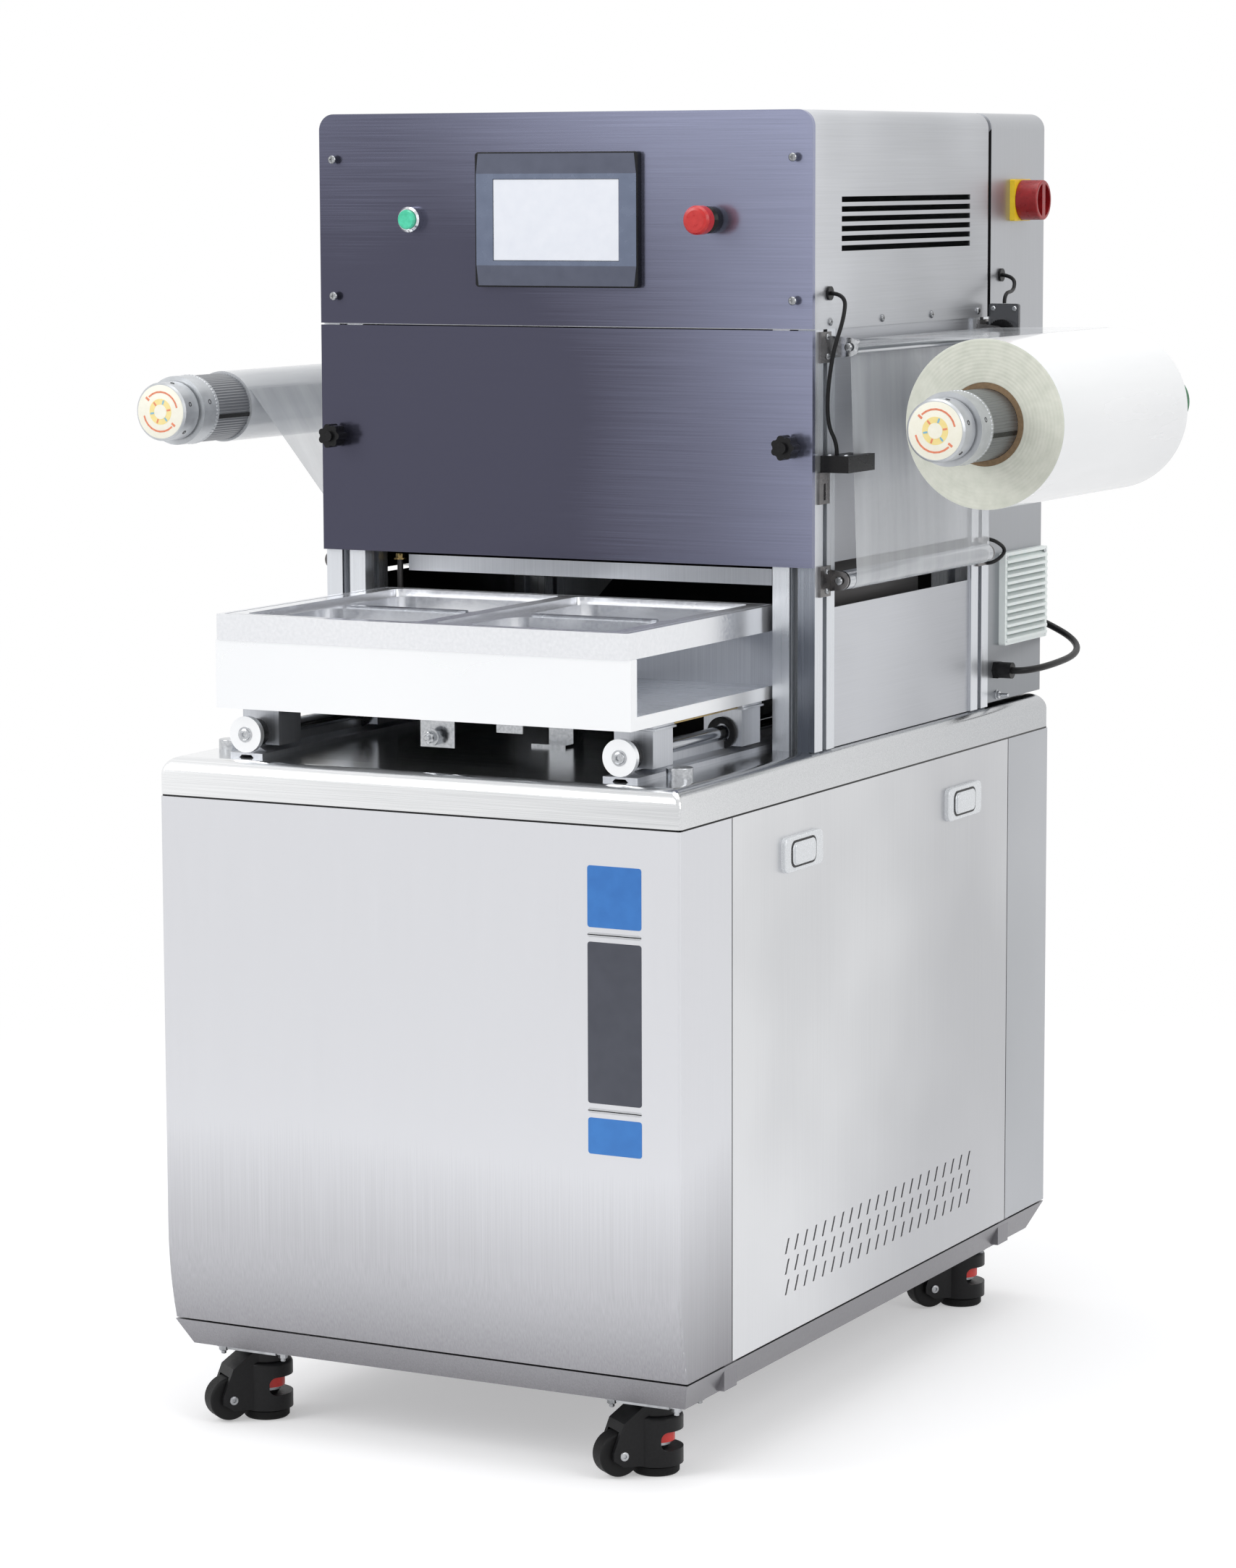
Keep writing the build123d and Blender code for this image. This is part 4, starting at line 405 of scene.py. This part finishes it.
def block(bm, low, high, edge=0.5, mat=0):
    """A box between two layout corners with rounded edges."""
    before = set(bm.faces)
    low, high = P(*low), P(*high)
    made = bmesh.ops.create_cube(bm, size=1)["verts"]
    for v in made:
        v.co = Vector(low[i] + (high[i] - low[i]) * (v.co[i] + 0.5) for i in range(3))
    edges = list(dict.fromkeys(e for v in made for e in v.link_edges))
    bmesh.ops.bevel(bm, geom=edges, offset=edge / 1000, segments=2, profile=0.5, affect="EDGES")
    for face in bm.faces:
        if face not in before:
            face.material_index = mat


def cross(size):
    """The outline of a cross recess, as a radius that depends on the angle."""
    return lambda a: size * (0.26 + 0.74 * abs(math.cos(2 * a)) ** 9)


def hexagon(size):
    """The outline of a hexagon with this half width across flats."""
    return lambda a: size / math.cos((a + math.pi / 6) % (math.pi / 3) - math.pi / 6)


def screw(bm, at, axis, radius=4.5, tall=2.4, tool=cross, mat=0):
    """A pan-head screw with a driven recess."""
    bore = radius * (0.62 if tool is cross else 0.42)
    turned(bm, at, axis, [(radius, 0), (radius, tall * 0.4), (radius * 0.93, tall * 0.75),
                          (radius * 0.74, tall), (tool(bore), tall), (tool(bore * 0.9), tall * 0.2)], 32, mat)


def bolt(bm, at, axis, radius, tall, washer=1.5, mat=0):
    """A hexagon head on a washer."""
    turned(bm, at, axis, [(radius * 1.45, 0), (radius * 1.45, washer), (hexagon(radius * 0.87), washer),
                          (hexagon(radius * 0.87), tall - 0.6), (radius * 0.82, tall)], 36, mat)


def piece(name, bm, body, *materials, slot=None, sharp=0.6):
    """Ends a mesh and lets it ride on a body."""
    bmesh.ops.recalc_face_normals(bm, faces=bm.faces)
    mesh = bpy.data.meshes.new(name)
    bm.to_mesh(mesh)
    bm.free()
    for material in materials:
        mesh.materials.append(material)
    for face in mesh.polygons:
        face.use_smooth = True
    mesh.set_sharp_from_angle(angle=sharp)
    obj = bpy.data.objects.new(name, mesh)
    bpy.context.collection.objects.link(obj)
    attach(obj, body)
    return obj


# Screws of the housing: front panel, head sides, roller brackets and pins, cabinet back

bm = bmesh.new()
for x in (-283, 283):
    for z in (1218, 1369):
        screw(bm, P(x, PANEL_FRONT, z), -BACK, 4.8, 2.6)
for side in (-1, 1):
    for y in (373.6, 509, 643, 775):
        screw(bm, P(side * HEAD_SIDE, y, 1194.5), RIGHT * side, 4.2, 2.2)
    for z in (907.5, 928.5):
        screw(bm, P(side * BRACKET_SIDE, BRACKET_Y, z), RIGHT * side, 3.4, 2.0)
    for y, way in ROLLER_PIN_ENDS:
        screw(bm, P(side * LOWER_ROLLER[0], y, LOWER_ROLLER[1]), BACK * way, 4.6, 3.0, hexagon)
for z in (1158, 1179):
    screw(bm, P(BRACKET_SIDE, BRACKET_Y, z), RIGHT, 3.4, 2.0)
for y, way in ROLLER_PIN_ENDS:
    screw(bm, P(UPPER_ROLLER[0], y, UPPER_ROLLER[1]), BACK * way, 4.6, 3.0, hexagon)
for x in (-262, -88, 88, 262):
    for z in (760, 1400):
        screw(bm, P(x, 978, z), BACK, 3.6, 2.0)
piece("housing_screws", bm, "machine", screw_steel, slot="bright_steel")

# Screens beside the film's path in the head: dark ones of painted shade on the left, steel ones on the right,
# and a bolted rod

bm = bmesh.new()
for side, mat in ((-1, 0), (1, 1)):
    for low_z, high_z in ((848, 904.5), (909.8, 934)):
        near, far = sorted((side * 262, side * 264))
        block(bm, (near, 396, low_z), (far, 700, high_z), 0.3, mat)
turned(bm, P(-240, 392, 868), UP, [(3.4, 0), (3.4, 52)], 24, 1)
bolt(bm, P(-240, 392, 920), UP, 5.0, 7, 1.5, 2)
piece("inner_screens", bm, "machine", painted_shade_inside, inner_steel, brass, slot="dark_panel")

# Dark joint lines beside the door panels and under the table

BASE_SIDE = right_side("side_doors")
JOINT_LOW, JOINT_HIGH = 693.1, 694.9
bm = bmesh.new()
for side in (-1, 1):
    near, far = sorted((side * (BASE_SIDE - 3), side * (BASE_SIDE - 0.4)))
    block(bm, (near, 118.1, 119), (far, 119.9, 693), 0.1)
    block(bm, (near, 854.1, 119), (far, 855.9, 693), 0.1)
    block(bm, (near, 4, JOINT_LOW), (far, 974, JOINT_HIGH), 0.1)
block(bm, (4 - BASE_SIDE, 0.4, JOINT_LOW), (BASE_SIDE - 4, 3, JOINT_HIGH), 0.1)
piece("joint_lines", bm, "machine", seal, slot="touch_black")

# Touch panel: bands above and below, a bezel round the screen, and the blank screen

TOUCH_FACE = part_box("touch_panel")[0].y * 1000 + ORIGIN_Y
TOUCH_PROUD, TOUCH_CORNER = 0.35, 2.5
bm = bmesh.new()
xs, zs = (-98.4, -77.6, 77.6, 98.4), (1231.5, 1253.3, 1258.4, 1346.9, 1352.7, 1374.5)
grid = []
for k, z in enumerate(zs):
    grid.append([])
    for i, x in enumerate(xs):
        corner = i in (0, 3) and k in (0, 5)
        inset = (TOUCH_CORNER if x < 0 else -TOUCH_CORNER) * corner
        grid[-1].append(bm.verts.new(P(x + inset, TOUCH_FACE - TOUCH_PROUD, z)))
for k in range(5):
    for i in range(3):
        if (i, k) != (1, 2):
            quad = bm.faces.new((grid[k][i], grid[k][i + 1], grid[k + 1][i + 1], grid[k + 1][i]))
            quad.material_index = 0 if k in (0, 4) else 1
back_face = bmesh.ops.extrude_face_region(bm, geom=bm.faces[:])["geom"]
bmesh.ops.translate(bm, verts=[v for v in back_face if isinstance(v, bmesh.types.BMVert)], vec=BACK * 0.0005)
piece("touch_face", bm, "machine", band, bezel, slot="touch_black")
bm = bmesh.new()
slab(bm, P(0, TOUCH_FACE + 0.55, 1302.6), RIGHT, UP, (154.2, 87.6), 0.8, 0.35, 0.15)
piece("touch_screen_face", bm, "machine", screen, slot="touch_black")

# Generic label blocks on the base front: (top, height, material)

LABEL_X, LABEL_WIDTH = 236.5, 62
bm = bmesh.new()
for z, tall, mat in ((653, 64, 0), (584, 5, 1), (574, 168, 2), (401, 5, 1), (391, 38, 0)):
    slab(bm, P(LABEL_X, 0, z - tall / 2), RIGHT, UP, (LABEL_WIDTH, tall), 3, 0.4, 0.15, mat)
piece("front_label", bm, "machine", blue, grey_print, slate)

# Sleeves, knobs and labels of the two film shafts

KNOB_FRONT = 262
RIBS, RIBBED_RADIUS = 72, 37.6
BEADS, BEADED_RADIUS = 60, 38.6


def ribbed(a):
    """The sleeve's radius at an angle."""
    return RIBBED_RADIUS + 0.5 * max(0.0, math.cos(RIBS * a))


def beaded(a):
    """The beaded ring's radius at an angle."""
    return BEADED_RADIUS + 1.0 * abs(math.cos(BEADS / 2 * a))


def shaft_sleeve(x, body, name):
    """Ribs, beaded ring, slits and set-screw holes of one chuck shaft."""
    bm = bmesh.new()
    turned(bm, P(x, PANEL_FRONT, SHAFT_Z), BACK, [(ribbed, 0), (ribbed, 66)], 288, 0, (False, False))
    turned(bm, P(x, 758.5, SHAFT_Z), BACK, [(ribbed, 0), (ribbed, 9.3)], 288, 0, (False, True))
    turned(bm, P(x, 318, SHAFT_Z), BACK, [(38.4, 0), (beaded, 1), (beaded, 5), (38.4, 6)], 240, 1,
           (False, False))
    for turn in range(3):
        out = outward(-12 + 120 * turn)
        slab(bm, P(x, 357.5, SHAFT_Z) + out * 0.0376, BACK.cross(out), BACK, (5.0, 66), 0.6, 0.9, 0.2, 2)
    for turn in range(6):
        out = outward(60 * turn + 15)
        turned(bm, P(x, 274, SHAFT_Z) + out * 0.0328, out,
               [(2.6, 0), (2.6, 0.5), (2.0, 0.6), (1.8, 0.1)], 20, 2)
        if turn % 3 == 0:
            turned(bm, P(x, 306, SHAFT_Z) + out * 0.0388, out,
                   [(2.8, 0), (2.8, 0.4), (2.2, 0.5), (2.0, 0.1)], 20, 2)
    piece(name + "_sleeve", bm, body, sleeve, knob_alu, seal, slot="shaft_metal")


def shaft_label(x, body, name):
    """A plain round label with six spokes and two arcs that end in a broad tip, on one shaft's knob."""
    bm = bmesh.new()
    front = P(x, KNOB_FRONT, SHAFT_Z)
    turned(bm, front, -BACK, [(30.2, 0), (30.2, 0.35), (29.8, 0.5)], 64, 0)
    turned(bm, front + BACK * -0.0005, -BACK, [(14.6, 0), (14.6, 0.18)], 48, 1)
    turned(bm, front + BACK * -0.0007, -BACK, [(8.2, 0), (8.2, 0.18)], 40, 0)
    for spoke in range(6):
        out = outward(60 * spoke + 10)
        slab(bm, front + out * 0.0112 + BACK * -0.00066, BACK.cross(out), out, (2.0, 5.0), 0.4, 0.2, 0.05,
             2 + spoke % 2)
    for turn in (0, 180):
        for step in range(9):
            out = outward(turn + 20 + 15 * step)
            size = (6.2, 2.0) if step < 8 else (2.6, 5.6)
            slab(bm, front + out * 0.0222 + BACK * -0.0005, BACK.cross(out), out, size, 0.3, 0.2, 0.05, 2)
    piece(name + "_label", bm, body, cream, amber, arc_red, arc_blue)


for x, body, name in ((SHAFT_X, "supply_reel", "supply"), (-SHAFT_X, "rewind_reel", "rewind")):
    shaft_sleeve(x, body, name)
    shaft_label(x, body, name)

# Wound ends of the supply roll and the rewound film

WINDING = 1.1  # the rings' pitch


def wound_end(x, y, way, inner, outer, body, name, material):
    """The end face of wound film: fine rings that stand out unevenly."""
    bm = bmesh.new()
    count = int((outer - inner) / WINDING)
    rings = []
    for k in range(count + 1):
        r = inner + (outer - inner) * k / count
        proud = 0.25 + 0.22 * math.sin(k * 2.4) * math.sin(k * 0.61 + 1) if 0 < k < count else 0.02
        rings.append((r, proud))
    turned(bm, P(x, y, SHAFT_Z), BACK * way, rings, 72, 0, (False, False))
    piece(name, bm, body, material, slot="roll_film", sharp=1.2)


for y, way, end in ((FILM_FRONT - 0.1, -1, "front"), (FILM_REAR + 0.1, 1, "rear")):
    wound_end(SHAFT_X, y, way, 44.5, 90.4, "supply_reel", "roll_end_" + end, roll_end)
    wound_end(-SHAFT_X, y, way, 38.2, 40.4, "rewind_reel", "rewound_end_" + end, rewound)

# The film between the rolls: it turns round circles of (x, z, radius, side)

FILM_TURNS = (
    (SHAFT_X, SHAFT_Z, 90.95, 1),
    (*UPPER_ROLLER, 8.45, 1),
    (*LOWER_ROLLER, 10.95, -1),
    (-LOWER_ROLLER[0], LOWER_ROLLER[1], 10.95, -1),
    (-SHAFT_X, SHAFT_Z, 40.95, 1),
)
ARC_STEPS, STRAIGHT_STEP = 8, 12


def film_path():
    """Points of the film's centre line: straight runs tangent to the rolls and rollers, arcs round them."""
    runs = []
    for (ax, az, ar, a_side), (bx, bz, br, b_side) in zip(FILM_TURNS, FILM_TURNS[1:]):
        dx, dz = bx - ax, bz - az
        heading = math.atan2(dz, dx) - math.asin((br * b_side - ar * a_side) / math.hypot(dx, dz))
        nx, nz = -math.sin(heading), math.cos(heading)
        runs.append((heading, (ax - nx * ar * a_side, az - nz * ar * a_side),
                     (bx - nx * br * b_side, bz - nz * br * b_side)))
    points = []
    for k, (heading, start, end) in enumerate(runs):
        if k:
            cx, cz, r, side = FILM_TURNS[k]
            before = runs[k - 1][0]
            sweep = (heading - before + math.pi) % math.tau - math.pi
            for i in range(1, ARC_STEPS):
                a = before + sweep * i / ARC_STEPS
                points.append((cx + math.sin(a) * r * side, cz - math.cos(a) * r * side))
        steps = max(2, int(math.hypot(end[0] - start[0], end[1] - start[1]) / STRAIGHT_STEP))
        points += [(start[0] + (end[0] - start[0]) * i / steps, start[1] + (end[1] - start[1]) * i / steps)
                   for i in range(steps + 1)]
    return points


FILM_SLANT = 72                    # how far the front edge is drawn in at the lower left roller
SLANT_START, SLANT_END = -100, -300  # where the edge leaves its line under the head, and where it is all in
SLANT_TOP = 1120                   # where it is back on its line on the way up
FILM_STRIPS = 24
line = film_path()
bm = bmesh.new()
rows = []
for k, (x, z) in enumerate(line):
    rows.append([])
    if x < SLANT_END:
        drawn_in = (z - SLANT_TOP) / (LOWER_ROLLER[1] - SLANT_TOP)
    else:
        drawn_in = (x - SLANT_START) / (SLANT_END - SLANT_START)
    front = FILM_FRONT + FILM_SLANT * max(0, min(1, drawn_in))
    for i in range(FILM_STRIPS + 1):
        y = front + (FILM_REAR - front) * i / FILM_STRIPS
        ripple = 0.16 * math.sin(k * 0.33 + i * 0.9) * math.sin(i * 0.5 + k * 0.07)
        rows[-1].append(bm.verts.new(P(x, y, z + ripple)))
for a, b in zip(rows, rows[1:]):
    for i in range(FILM_STRIPS):
        bm.faces.new((a[i], a[i + 1], b[i + 1], b[i]))
film_area = sum(face.calc_area() for face in bm.faces)
film_sheet = piece("film_sheet", bm, "machine", film, slot="clear_film", sharp=1.4)
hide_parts("film_web")

# Cords: (name, CAD node, radius, control points)

CORDS = (
    ("sensor_cord", "sensor_cable", 2.2, (
        (306.5, 370, 1225), (323.5, 370, 1224), (325.5, 362, 1200), (317.5, 352, 1165),
        (311.5, 350, 1120), (311.5, 352, 1085), (317.5, 362, 1066), (317.5, 362, 1053.3))),
    ("encoder_cord", "encoder_cable", 2.2, (
        (306.5, 841, 1234), (321.5, 841, 1232), (325.5, 830, 1216), (327.5, 796.5, 1214.5),
        (327.5, 796.5, 1202.8))),
    ("loop_cord", "loop_cable", 2.2, (
        (303.8, 804, 931), (313.5, 804, 931), (317.5, 836, 916), (313.5, 804, 903), (303.8, 804, 903))),
    ("power_cord", "power_cable", 4, (
        (325.5, 834, 776), (353.5, 834, 776), (351.5, 1018, 786), (262, 1026, 826), (262, 991.2, 826))),
)
LENGTH_SAMPLES = 400


def cord(name, node, radius, route):
    """A cord that replaces its CAD node, along the same route."""
    curve = bpy.data.curves.new(name, "CURVE")
    curve.dimensions = "3D"
    curve.bevel_depth = radius / 1000
    curve.bevel_resolution = 5
    curve.resolution_u = 12
    curve.use_fill_caps = True
    spline = curve.splines.new("NURBS")
    spline.points.add(len(route) - 1)
    for point, spot in zip(spline.points, route):
        point.co = (*P(*spot), 1)
    spline.order_u = 3
    spline.use_endpoint_u = True
    curve.materials.append(cable)
    obj = bpy.data.objects.new(name, curve)
    bpy.context.collection.objects.link(obj)
    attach(obj, "machine")
    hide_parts(node)
    return obj


def route_length(route):
    """Length of the quadratic B-spline that the control points give, in metres."""
    spots = [P(*spot) for spot in route]
    n = len(spots)
    knots = [0, 0] + list(range(n - 1)) + [n - 2, n - 2]
    total, last = 0.0, None
    for step in range(LENGTH_SAMPLES + 1):
        t = (n - 2) * step / LENGTH_SAMPLES
        k = min(int(t), n - 3) + 2
        d = [spots[j + k - 2].copy() for j in range(3)]
        for r in (1, 2):
            for j in range(2, r - 1, -1):
                lo, hi = knots[j + k - 2], knots[j + 1 + k - r]
                a = (t - lo) / (hi - lo)
                d[j] = d[j - 1] * (1 - a) + d[j] * a
        if last is not None:
            total += (d[2] - last).length
        last = d[2]
    return total


for name, node, radius, route in CORDS:
    obj = cord(name, node, radius, route)
    round(route_length(route), 3)

# Door latches: a dark recess, the plate on it and the slider

LATCH_Z = 637
bm = bmesh.new()
for side in (-1, 1):
    outer = side * right_side("door_latches")
    for y in (283, 716):
        slab(bm, P(outer, y - 3, LATCH_Z), BACK * side, UP, (62, 29), 9, 0.5, 0.1, 1)
        slab(bm, P(outer, y - 3, LATCH_Z), BACK * side, UP, (57, 24.5), 7.5, 1.4, 0.5, 0)
        slab(bm, P(outer + side * 1.2, y - 22, LATCH_Z), BACK * side, UP, (12, 22), 4, 1.4, 0.5, 0)
piece("latch_sliders", bm, "machine", latch, seal, slot="latch_grey")

# Drawer and rail fittings: end screws, the catch's bolt, spacer plates, brass strips and bearing seals

bm = bmesh.new()
for x in (-RAIL_X, RAIL_X):
    screw(bm, P(x, 34, RAIL_Z), -BACK, 6.5, 2.6, hexagon)
    turned(bm, P(x, 34, RAIL_Z), -BACK, [(8.4, 0), (8.4, 0.8)], 40)
piece("rail_end_screws", bm, "machine", bright, slot="bright_steel")
CATCH_BOLT = P(0.4, 40, 768.9)
bm = bmesh.new()
bolt(bm, CATCH_BOLT, -BACK, 6.5, 7, 1.6)
turned(bm, CATCH_BOLT, -BACK, [(3, 6), (3, 10), (2.4, 10.6)], 24)
piece("catch_bolt", bm, "drawer", bright, slot="bright_steel")
bm = bmesh.new()
for side in (-1, 1):
    x = side * RAIL_X
    for low_y, high_y in ((64, 113), (272, 321)):
        block(bm, (x - 26, low_y, 785.2), (x + 26, high_y, 787.4), 0.4)
        block(bm, (x - 24, low_y + 1, 787.5), (x + 24, high_y - 1, 789.9), 0.4)
    block(bm, (side * 240 - 3, 106, 786.6), (side * 240 + 3, 282, 788.2), 0.3, 1)
    turned(bm, P(x, 274, RAIL_Z), -BACK, [(17, 0), (17, 3.4), (15.4, 4.2), (10, 4.2)], 48, 2, (False, False))
piece("drawer_spacers", bm, "drawer", anodised, brass, seal, slot="anodised")

# Caster plate nuts and axle screws

PLATE_UNDERSIDE, PLATE_HOLE_X, PLATE_HOLE_Y = 81, 38, 27
CASTER_TURN = Matrix.Rotation(math.radians(-36), 3, "Z")
TRAIL, CHEEK_OUT, AXLE_Z = 46, 17.5, 25.5
bm = bmesh.new()
for x in (-CASTER_X, CASTER_X):
    for y in CASTER_YS:
        for dx in (-PLATE_HOLE_X, PLATE_HOLE_X):
            for dy in (-PLATE_HOLE_Y, PLATE_HOLE_Y):
                at = P(x + dx, y + dy, PLATE_UNDERSIDE)
                bolt(bm, at, -UP, 5.2, 6.5, 1.2)
                turned(bm, at, -UP, [(2.9, 6), (2.9, 9.5), (2.4, 10)], 20)
piece("caster_plate_nuts", bm, "machine", zinc, slot="zinc")
for corner in CORNERS:
    x = -CASTER_X if "left" in corner else CASTER_X
    y = CASTER_YS["rear" in corner]
    bm = bmesh.new()
    for way in (-1, 1):
        at = P(x, y, AXLE_Z) + CASTER_TURN @ Vector((way * CHEEK_OUT, -TRAIL, 0)) / 1000
        screw(bm, at, CASTER_TURN @ (RIGHT * way), 5.0, 2.2, hexagon)
    piece("caster_axle_screws_" + corner, bm, "caster_" + corner, zinc, slot="zinc")

# Encoder teeth, and on the right side the encoder, grille and sensor screws and the ground stud


def toothed(a):
    """The encoder wheel's radius at an angle."""
    return 15.8 + 0.9 * (math.cos(36 * a) > 0)


bm = bmesh.new()
turned(bm, P(UPPER_ROLLER[0], 783.8, UPPER_ROLLER[1]), BACK, [(toothed, 0), (toothed, 6.4)], 288, 0,
       (True, True))
piece("encoder_teeth", bm, "upper_right_roller", seal, slot="sensor_black")
bm = bmesh.new()
for x in (315, 341):
    screw(bm, P(x, 794, 1197), -BACK, 3.0, 1.8)
for y in (850, 966):
    for z in (809, 906):
        screw(bm, P(right_side("air_grille") - 3, y, z), RIGHT, 2.6, 1.4)
turned(bm, P(HEAD_SIDE, 838, 746.5), RIGHT, [(5.5, 0), (5.5, 1), (hexagon(4), 1), (hexagon(4), 4.2),
                                             (2, 4.5), (2, 15), (1.5, 15.6)], 36, 0)
for x in (312, 331):
    screw(bm, P(x, 356, 1053), UP, 2.6, 1.4)
piece("side_fittings", bm, "machine", bright, brass, slot="bright_steel")

# World: one light for the machine, and white where it is seen, mirrored or looked through

SEEN_WHITE, WORLD_LIGHT = 1.0, 0.55
WHITE = (1, 1, 1, 1)
world = bpy.data.worlds.new("studio")
bpy.context.scene.world = world
world.use_nodes = True
tree = world.node_tree
tree.nodes.clear()


def seen(tree):
    """1 for camera, glossy and transmission rays."""
    path = add_node(tree, "ShaderNodeLightPath")
    first = add_node(tree, "ShaderNodeMath", operation="MAXIMUM")
    second = add_node(tree, "ShaderNodeMath", operation="MAXIMUM")
    tree.links.new(path.outputs["Is Camera Ray"], first.inputs[0])
    tree.links.new(path.outputs["Is Glossy Ray"], first.inputs[1])
    tree.links.new(first.outputs["Value"], second.inputs[0])
    tree.links.new(path.outputs["Is Transmission Ray"], second.inputs[1])
    return second.outputs["Value"]


join = tree.links.new
seen_light = add_node(tree, "ShaderNodeBackground", {"Color": WHITE, "Strength": SEEN_WHITE})
lamp_light = add_node(tree, "ShaderNodeBackground", {"Color": WHITE, "Strength": WORLD_LIGHT})
mixer, output = add_node(tree, "ShaderNodeMixShader"), add_node(tree, "ShaderNodeOutputWorld")
join(seen(tree), mixer.inputs[0])
join(lamp_light.outputs["Background"], mixer.inputs[1])
join(seen_light.outputs["Background"], mixer.inputs[2])
join(mixer.outputs["Shader"], output.inputs["Surface"])

# Floor: takes the machine's shadow near it and fades into the white

FLOOR_RADIUS, FLOOR_DROP = 40, 0.0005
FADE_START, FADE_END = 0.9, 2.4
FLOOR_GLOW = 0.36
floor_material = bpy.data.materials.new("studio_floor")
floor_material.use_nodes = True
tree = floor_material.node_tree
tree.nodes.clear()
join = tree.links.new
diffuse = add_node(tree, "ShaderNodeBsdfDiffuse", {"Color": (0.8, 0.8, 0.81, 1)})
glow, white = add_node(tree, "ShaderNodeEmission"), add_node(tree, "ShaderNodeEmission")
glow_level = add_node(tree, "ShaderNodeMath", {1: FLOOR_GLOW}, operation="MULTIPLY")
visible = seen(tree)
join(visible, glow_level.inputs[0])
join(glow_level.outputs["Value"], glow.inputs["Strength"])
near = add_node(tree, "ShaderNodeAddShader")
join(diffuse.outputs["BSDF"], near.inputs[0])
join(glow.outputs["Emission"], near.inputs[1])
far = add_node(tree, "ShaderNodeMixShader")
join(visible, far.inputs[0])
join(diffuse.outputs["BSDF"], far.inputs[1])
join(white.outputs["Emission"], far.inputs[2])
place = add_node(tree, "ShaderNodeTexCoord")
distance = add_node(tree, "ShaderNodeVectorMath", operation="LENGTH")
fade = add_node(tree, "ShaderNodeMapRange", {"From Min": FADE_START, "From Max": FADE_END},
                interpolation_type="SMOOTHSTEP")
join(place.outputs["Object"], distance.inputs[0])
join(distance.outputs["Value"], fade.inputs["Value"])
whole = add_node(tree, "ShaderNodeMixShader")
join(fade.outputs["Result"], whole.inputs[0])
join(near.outputs["Shader"], whole.inputs[1])
join(far.outputs["Shader"], whole.inputs[2])
output = add_node(tree, "ShaderNodeOutputMaterial")
join(whole.outputs["Shader"], output.inputs["Surface"])
bm = bmesh.new()
bmesh.ops.create_circle(bm, cap_ends=True, segments=96, radius=FLOOR_RADIUS)
mesh = bpy.data.meshes.new("studio_floor")
bm.to_mesh(mesh)
bm.free()
mesh.materials.append(floor_material)
floor = bpy.data.objects.new("studio_floor", mesh)
floor.location.z = -FLOOR_DROP
bpy.context.collection.objects.link(floor)

# Lamps, in metres and watts

LAMP_TARGET = (0, 0, 0.8)


def lamp(name, at, size, power):
    """An area lamp that points at the middle of the machine."""
    data = bpy.data.lights.new(name, "AREA")
    data.shape = "RECTANGLE"
    data.size, data.size_y = size
    data.energy = power
    obj = bpy.data.objects.new(name, data)
    obj.location = at
    obj.rotation_euler = (Vector(LAMP_TARGET) - Vector(at)).to_track_quat("-Z", "Y").to_euler()
    bpy.context.collection.objects.link(obj)


lamp("key", (-2.6, -3.4, 3.2), (2.4, 2.4), 90)
lamp("side", (3.8, -1.2, 2.6), (2.0, 2.4), 45)
lamp("top", (0.2, 0.2, 4.2), (3.0, 3.0), 60)

# Camera, solved from the photo

CAMERA_PLACE = Vector((2.33862, -4.56797, 1.35659))
YAW, PITCH, ROLL = math.radians(28.08), math.radians(7.35), math.radians(-0.26)
ahead = Vector((-math.sin(YAW) * math.cos(PITCH), math.cos(YAW) * math.cos(PITCH), -math.sin(PITCH)))
level = Vector((math.cos(YAW), math.sin(YAW), 0))
rise = level.cross(ahead)
right = level * math.cos(ROLL) + rise * math.sin(ROLL)
top = rise * math.cos(ROLL) - level * math.sin(ROLL)
data = bpy.data.cameras.new("camera")
data.lens = 104.99
data.sensor_width = 36
data.shift_x = 0.02988
data.shift_y = -0.0155
data.clip_end = 200
camera = bpy.data.objects.new("camera", data)
basis = Matrix((right, top, -ahead)).transposed().to_4x4()
basis.translation = CAMERA_PLACE
camera.matrix_world = basis
bpy.context.collection.objects.link(camera)
bpy.context.scene.camera = camera
bpy.context.scene.view_settings.view_transform = "Standard"
